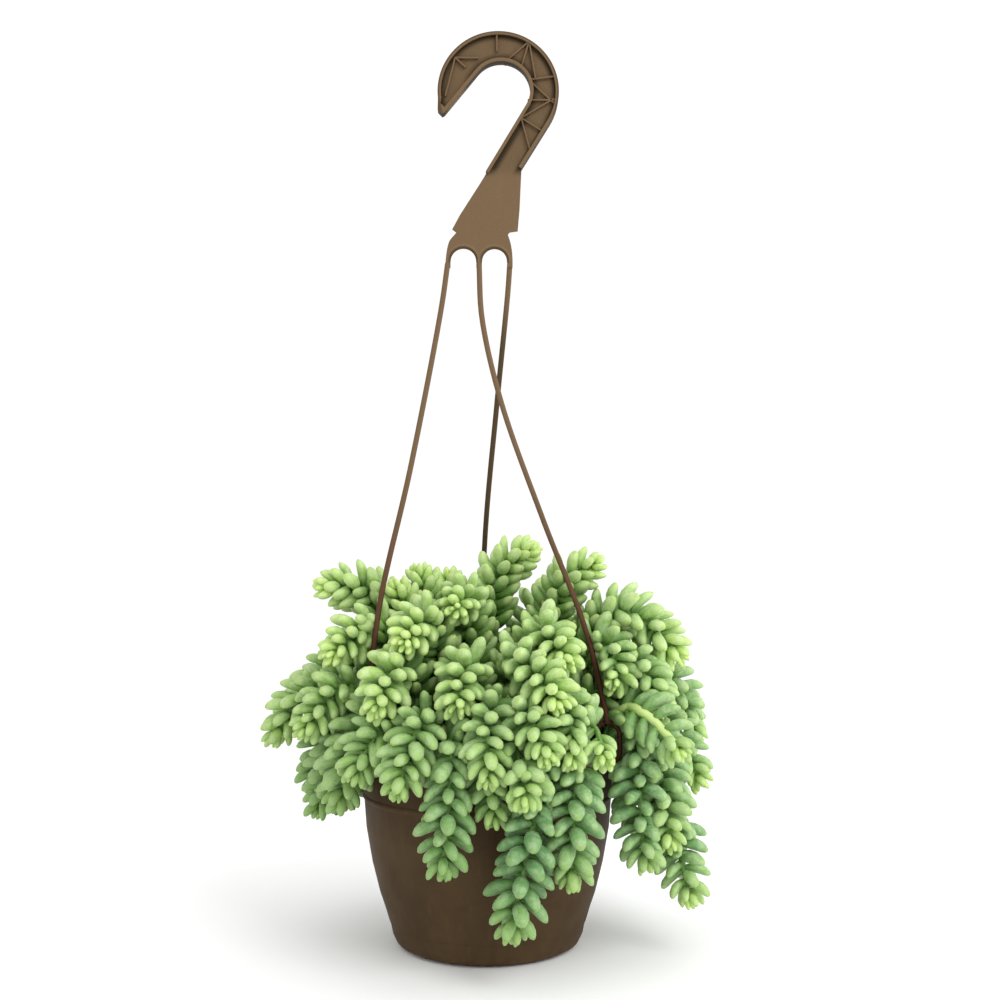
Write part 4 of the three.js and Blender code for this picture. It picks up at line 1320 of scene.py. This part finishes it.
# How much one leaf may differ from the next.
TURN_JITTER = 0.16
SIZE_JITTER = (0.88, 1.08)
SPREAD_JITTER = (0.93, 1.07)
GAP_JITTER = (0.85, 1.15)
PLUMP_JITTER = (0.86, 1.08)
TAIL_SIZES = (0.93, 1.07)
# How much room the hanger needs, and how much is kept free in front of it where it hangs outside the foliage.
ARM_ROOM = 1.9
ROD_ROOM = 1.7
OPEN_ARM = 2.6
OPEN_LEFT_ARM_FROM = 166
# The front clip's rod, inside the rim and outside it: from which height it is kept free, and how wide.
OPEN_CLIP = {"inner": (125.5, 4.1), "outer": (114.5, 2.3)}
TO_VIEWER = np.array([-0.08, -1, 0.13])
# A tail that has lost leaves: how far apart the rest are, and which way the first of each two grows.
SPARSE_TAILS = {27}
SPARSE_FROM = 9
SPARSE_GAP = 4.2
SPARSE_WAY = np.array([0.76, 0.0, 0.64])
SPARSE_STEM = 1.8
WITHERED = 0.012
WITHERED_FROM = 30
WITHERED_SIZE = 0.62
FOLIAGE_MIDDLE = (0, 0, 150)
LOOK_ROUND = math.radians(10)


class Room:
    """What already takes up space, as balls sorted into cubes of one size."""

    def __init__(self):
        self.cubes = {}

    def cube(self, place):
        return tuple(int(math.floor(v / ROOM)) for v in place)

    def fill(self, place, radius, owner):
        self.cubes.setdefault(self.cube(place), []).append((*place, radius, owner))

    def is_free(self, place, radius, owner):
        x, y, z = place
        i, j, k = self.cube(place)
        for cell in ((i + a, j + b, k + c) for a in (-1, 0, 1) for b in (-1, 0, 1) for c in (-1, 0, 1)):
            for bx, by, bz, ball, who in self.cubes.get(cell, ()):
                reach = SQUEEZE * (radius + ball)
                if who != owner and (x - bx) ** 2 + (y - by) ** 2 + (z - bz) ** 2 < reach * reach:
                    return False
        return True


class MakeTails(bpy.types.Operator):
    """Grow every leafy stem: a thin stem along its route, with leaves set round it from the tip down"""

    bl_idname = "burro.make_tails"
    bl_label = "Leafy stems"

    def execute(self, context):
        settings = context.scene.burro_foliage
        self.chance = random.Random(settings.seed)
        self.hanger_room = self.room_around_hanger()
        self.room = Room()
        finish = leaf_finish(settings)
        leaf = self.make_leaf(settings)
        tails = [self.start_tail(number, line) for number, line in enumerate(stem_lines())]
        for number in SPARSE_TAILS:
            while tails[number]["reach"] > tails[number]["bare"]:
                self.grow(tails[number], settings)
        growing = tails
        while growing := [tail for tail in growing if tail["reach"] > tail["bare"]]:
            for tail in growing:
                self.grow(tail, settings)
        shaded = iter(self.shaded(tails, settings))
        for tail in tails:
            self.make_tail(tail, leaf, shaded, finish, settings)
        bpy.data.objects.remove(leaf)
        return {"FINISHED"}

    def room_around_hanger(self):
        room = Room()
        for side, azimuth in CLIP_AZIMUTHS.items():
            line = arm_line(side)
            length = walked(line)[-1]
            for place in point_along(line, np.arange(length * 0.4, length, 2.5)):
                room.fill(place, ARM_ROOM, "hanger")
                if side == "front" or (side == "left" and place[2] > OPEN_LEFT_ARM_FROM):
                    self.keep_clear(room, place, OPEN_ARM)
            line = clip_line(azimuth)
            for place in point_along(line, np.arange(0, walked(line)[-1] - 4, 2.0)):
                room.fill(place, ROD_ROOM, "hanger")
                inner = math.hypot(place[0], place[1]) < CLIP_RADIUS
                above, radius = OPEN_CLIP["inner" if inner else "outer"]
                if side == "front" and place[2] > above:
                    self.keep_clear(room, place, radius)
        return room

    def keep_clear(self, room, place, radius):
        """Keeps leaves from growing in front of a place on the hanger."""
        for forward in range(6, 76, 6):
            room.fill(place + TO_VIEWER * forward, radius, "hanger")

    def make_leaf(self, settings):
        """One leaf to copy: its root at the origin, its point up, plump, and bent a little to its stem."""
        sphere = bpy.ops.mesh.primitive_uv_sphere_add
        leaf = added(sphere, segments=8, ring_count=8, radius=0.5, location=(0, 0, 0.5))
        settle(leaf)
        rings = sorted({round(vertex.co.z, 5) for vertex in leaf.data.vertices})
        start_shaping("VERT")
        for z, (along, width) in reversed(list(zip(rings, LEAF_PROFILE))):
            pick(lambda place: abs(place.z - z) < 1e-3)
            now = math.sqrt(max(0.25 - (z - 0.5) ** 2, 1e-12))
            if width:
                sizes = [width / now * size for size in (settings.leaf_width, settings.leaf_thickness)]
                bpy.ops.transform.resize(value=(*sizes, 1), center_override=(0, 0, z))
            bend = LEAF_LEAN * along - LEAF_BOW * math.sin(math.pi * min(1, along * 0.95))
            bpy.ops.transform.translate(value=(0, bend, along * settings.leaf_length - z))
        bpy.ops.object.mode_set(mode="OBJECT")
        bpy.ops.object.shade_smooth()
        mark(leaf, along=[vertex.co.z / settings.leaf_length for vertex in leaf.data.vertices])
        return leaf

    def start_tail(self, number, line):
        """A tail without leaves: its route, how far down it has leaves, and what is its own."""
        way = walked(line)
        inner = math.hypot(line[0][0], line[0][1]) < INNER_FOOT
        return {
            "number": number, "line": line, "way": way, "leaves": [], "side": side_of(line),
            "bare": FOOT_DEPTH + BARE["inner" if inner else "outer"], "reach": way[-1] - 0.6,
            "turn": self.chance.uniform(0, 2 * math.pi), "hue": self.chance.random(),
            "size": self.chance.uniform(*TAIL_SIZES),
        }

    def grow(self, tail, settings):
        """Sets the next leaf of a tail, further down from its tip, where it has room."""
        from_tip = tail["way"][-1] - tail["reach"]
        young = math.exp(-from_tip * MM / settings.young_length)
        place, tangent, across, other = frame_at(tail, tail["reach"])
        jitter = self.chance.uniform
        sparse = tail["number"] in SPARSE_TAILS and from_tip > SPARSE_FROM
        if sparse:
            tail["turn"] = math.atan2(other @ SPARSE_WAY, across @ SPARSE_WAY)
            tail["turn"] += math.pi * (len(tail["leaves"]) % 2)
        turn = tail["turn"] + jitter(-TURN_JITTER, TURN_JITTER)
        spread = settings.spread * (1 + HANGING_SPREAD * below(place[2], *HANGING))
        spread += (settings.tip_spread - spread) * young
        size = 1 + (YOUNG_SIZE - 1) * young
        size *= tail["size"] * jitter(*SIZE_JITTER)
        out = math.cos(turn) * across + math.sin(turn) * other
        for wider, smaller in LEAF_TRIES:
            lean = min(spread * wider * jitter(*SPREAD_JITTER), WIDEST)
            direction = math.cos(lean) * tangent + math.sin(lean) * out
            long = settings.leaf_length / MM * size * smaller
            balls = [(place + direction * long * share, r * size * smaller) for share, r in LEAF_BALLS]
            roomy = all(self.is_free(ball, r, young > 0.6, tail["number"]) for ball, r in balls)
            if roomy and in_cad_box(place + direction * long, TIP_BALL * size * smaller):
                for ball, r in balls:
                    self.room.fill(ball, r, tail["number"])
                inward = math.sin(lean) * tangent - math.cos(lean) * out
                tail["leaves"].append((place, direction, inward, size * smaller, from_tip))
                break
        tail["turn"] += GOLDEN_ANGLE
        gap = settings.leaf_gap * (1 + HANGING_GAP * below(place[2], *APART))
        gap += (settings.tip_gap - gap) * young
        if sparse:
            gap = SPARSE_GAP * MM
        tail["reach"] -= gap / MM * jitter(*GAP_JITTER)

    def is_free(self, place, radius, at_tip, number):
        """Whether a ball clears the floor, the pot, the soil, the hanger and other tails' leaves."""
        r, z = math.hypot(place[0], place[1]), place[2]
        rim_radius, rim_height = POT_OUTSIDE[-1]
        room = radius * BALL_SHARE
        if z < room:
            return False
        if z < rim_height:
            wall = pot_radius(z)
            if wall - POT_WALL - room < r < wall + room:
                return False
            if r < wall and z < SOIL_TOP + radius * 0.5:
                return False
        elif math.hypot(r - rim_radius, z - rim_height) < room:
            return False
        return self.hanger_room.is_free(place, radius, number) and (
            at_tip or self.room.is_free(place, radius, number)
        )

    def shaded(self, tails, settings):
        """How much painted shade each leaf gets for lying behind others: from 0 on the plant's outside to 1
        deep inside, and less of it on leaves low on the plant.
        """
        leaves = [leaf for tail in tails for leaf in tail["leaves"]]
        reach = 0.8 * settings.leaf_length / MM
        away = np.array([place + direction * size * reach for place, direction, _, size, _ in leaves])
        away -= FOLIAGE_MIDDLE
        distances = np.linalg.norm(away, axis=1)
        ways = away / distances[:, None]
        for way, distance in zip(ways, distances):
            outer = np.quantile(distances[ways @ way > math.cos(LOOK_ROUND)], 0.85)
            high = within((FOLIAGE_MIDDLE[2] + way[2] * distance - 105) / 40, 0.3, 1.0)
            yield high * within((outer - distance - 7) / 22, 0.0, 1.0)

    def make_tail(self, tail, leaf, shaded, finish, settings):
        """Makes a tail's stem and leaves, marks what their finish reads, and joins them."""
        stations = point_along(tail["line"], np.linspace(0, tail["way"][-1] - 1.5, 60))
        bare = tail["number"] in SPARSE_TAILS
        radii = settings.stem_radius / MM * np.linspace(*STEM_TAPER, len(stations))
        radii = radii * (SPARSE_STEM if bare else 1)
        stem = bent_rod(stations, radii, "stem", resolution=1)
        # A leafy tail's stem lies among its leaves and gets some painted shade; the bare stem gets none.
        looks = (0.85, 1, 1, 0) if bare else (0, 0.1, 0.4, 0.3)
        mark(stem, sunny=0.4, low=0, dry=0, **dict(zip(("along", "young", "tint", "shaded"), looks)))
        mark_grain(stem, places_of(stem))
        grain = places_of(leaf)
        pieces = [stem]
        for place, direction, inward, size, from_tip in tail["leaves"]:
            made = self.set_leaf(leaf, place, direction, inward, size)
            sunny = within((place[2] - 70) / 110 - place[0] / 260)  # from the upper left
            tint = within(0.45 * tail["hue"] + self.chance.uniform(0, 0.55))
            young = math.exp(-from_tip / (9 + 13 * tail["hue"]))
            # Painted shade: more on leaves low on the plant and towards its left.
            low = below(place[2], *LOW_SHADE) * within(0.75 - place[0] / 220, 0.15)
            old = from_tip > WITHERED_FROM and place[2] > SOIL_TOP
            withered = old and self.chance.random() < WITHERED
            if withered:
                shrink(made, place)
            mark(made, young=young, tint=tint, sunny=sunny, low=low, shaded=next(shaded), dry=withered)
            mark_grain(made, grain + self.chance.random())
            pieces.append(made)
        name = f"{tail['number'] + 1:02d}"
        piece = join(pieces, "tail_" + name)
        dress_piece(piece, piece.name, finish, "leafy_stem_" + name)

    def set_leaf(self, leaf, place, direction, inward, size):
        sideways = np.cross(inward, direction)
        plump = self.chance.uniform(*PLUMP_JITTER)
        axes = np.column_stack([sideways * plump, inward * plump, direction]) * size
        turned = Matrix(np.vstack([np.column_stack([axes, place * MM]), [0, 0, 0, 1]]).tolist())
        return copied(leaf, turned @ Matrix.Rotation(self.chance.uniform(-0.2, 0.2), 4, "Z"))


def shrink(leaf, root):
    """Withers a leaf: it gets thin and short towards its root."""
    root = Vector(root) * MM
    smaller = Matrix.Scale(WITHERED_SIZE, 4)
    leaf.data.transform(Matrix.Translation(root) @ smaller @ Matrix.Translation(-root))


def in_cad_box(place, radius):
    """Whether a leaf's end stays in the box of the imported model."""
    low, high = CAD_BOX
    return all(low[k] / MM + radius < place[k] < high[k] / MM - radius for k in range(3))


def side_of(line):
    """A level direction square to the way a line runs overall."""
    way = line[-1] - line[0]
    side = np.array([-way[1], way[0], 0.0])
    return side / max(np.linalg.norm(side), 1e-6)


def frame_at(tail, distance):
    """A place on a tail's line with the way it runs there and two directions square to it."""
    here, ahead = point_along(tail["line"], [distance - 0.8, min(distance + 0.8, tail["way"][-1])])
    tangent = (ahead - here) / np.linalg.norm(ahead - here)
    across = np.cross(tangent, tail["side"])
    across /= np.linalg.norm(across)
    return (here + ahead) / 2, tangent, across, np.cross(tangent, across)


# ---- The panel, and making it all ----

# In the order in which they are made: where a step's settings are kept, what they are, and the step.
STEPS = [
    ("burro_stage", StageSettings, MakeStage),
    ("burro_pot", PotSettings, MakePot),
    ("burro_soil", SoilSettings, MakeSoil),
    ("burro_hanger", HangerSettings, MakeHanger),
    ("burro_foliage", FoliageSettings, MakeTails),
]


class BurroPanel(bpy.types.Panel):
    """Lists the steps that make the plant, and their settings"""

    bl_idname = "VIEW3D_PT_burro"
    bl_label = "Burro's tail in a hanging pot"
    bl_space_type = "VIEW_3D"
    bl_region_type = "UI"
    bl_category = "Burro's Tail"

    def draw(self, context):
        for name, settings, step in STEPS:
            box = self.layout.box()
            box.operator(step.bl_idname)
            for field in settings.__annotations__:
                box.prop(getattr(context.scene, name), field)


def register():
    for name, settings, step in STEPS:
        bpy.utils.register_class(settings)
        setattr(bpy.types.Scene, name, PointerProperty(type=settings))
        bpy.utils.register_class(step)
    bpy.utils.register_class(BurroPanel)


def unregister():
    bpy.utils.unregister_class(BurroPanel)
    for name, settings, step in reversed(STEPS):
        bpy.utils.unregister_class(step)
        delattr(bpy.types.Scene, name)
        bpy.utils.unregister_class(settings)


def main():
    register()
    for step in ("make_stage", "make_pot", "make_soil", "make_hanger", "make_tails"):
        getattr(bpy.ops.burro, step)()


if __name__ == "__main__":
    main()
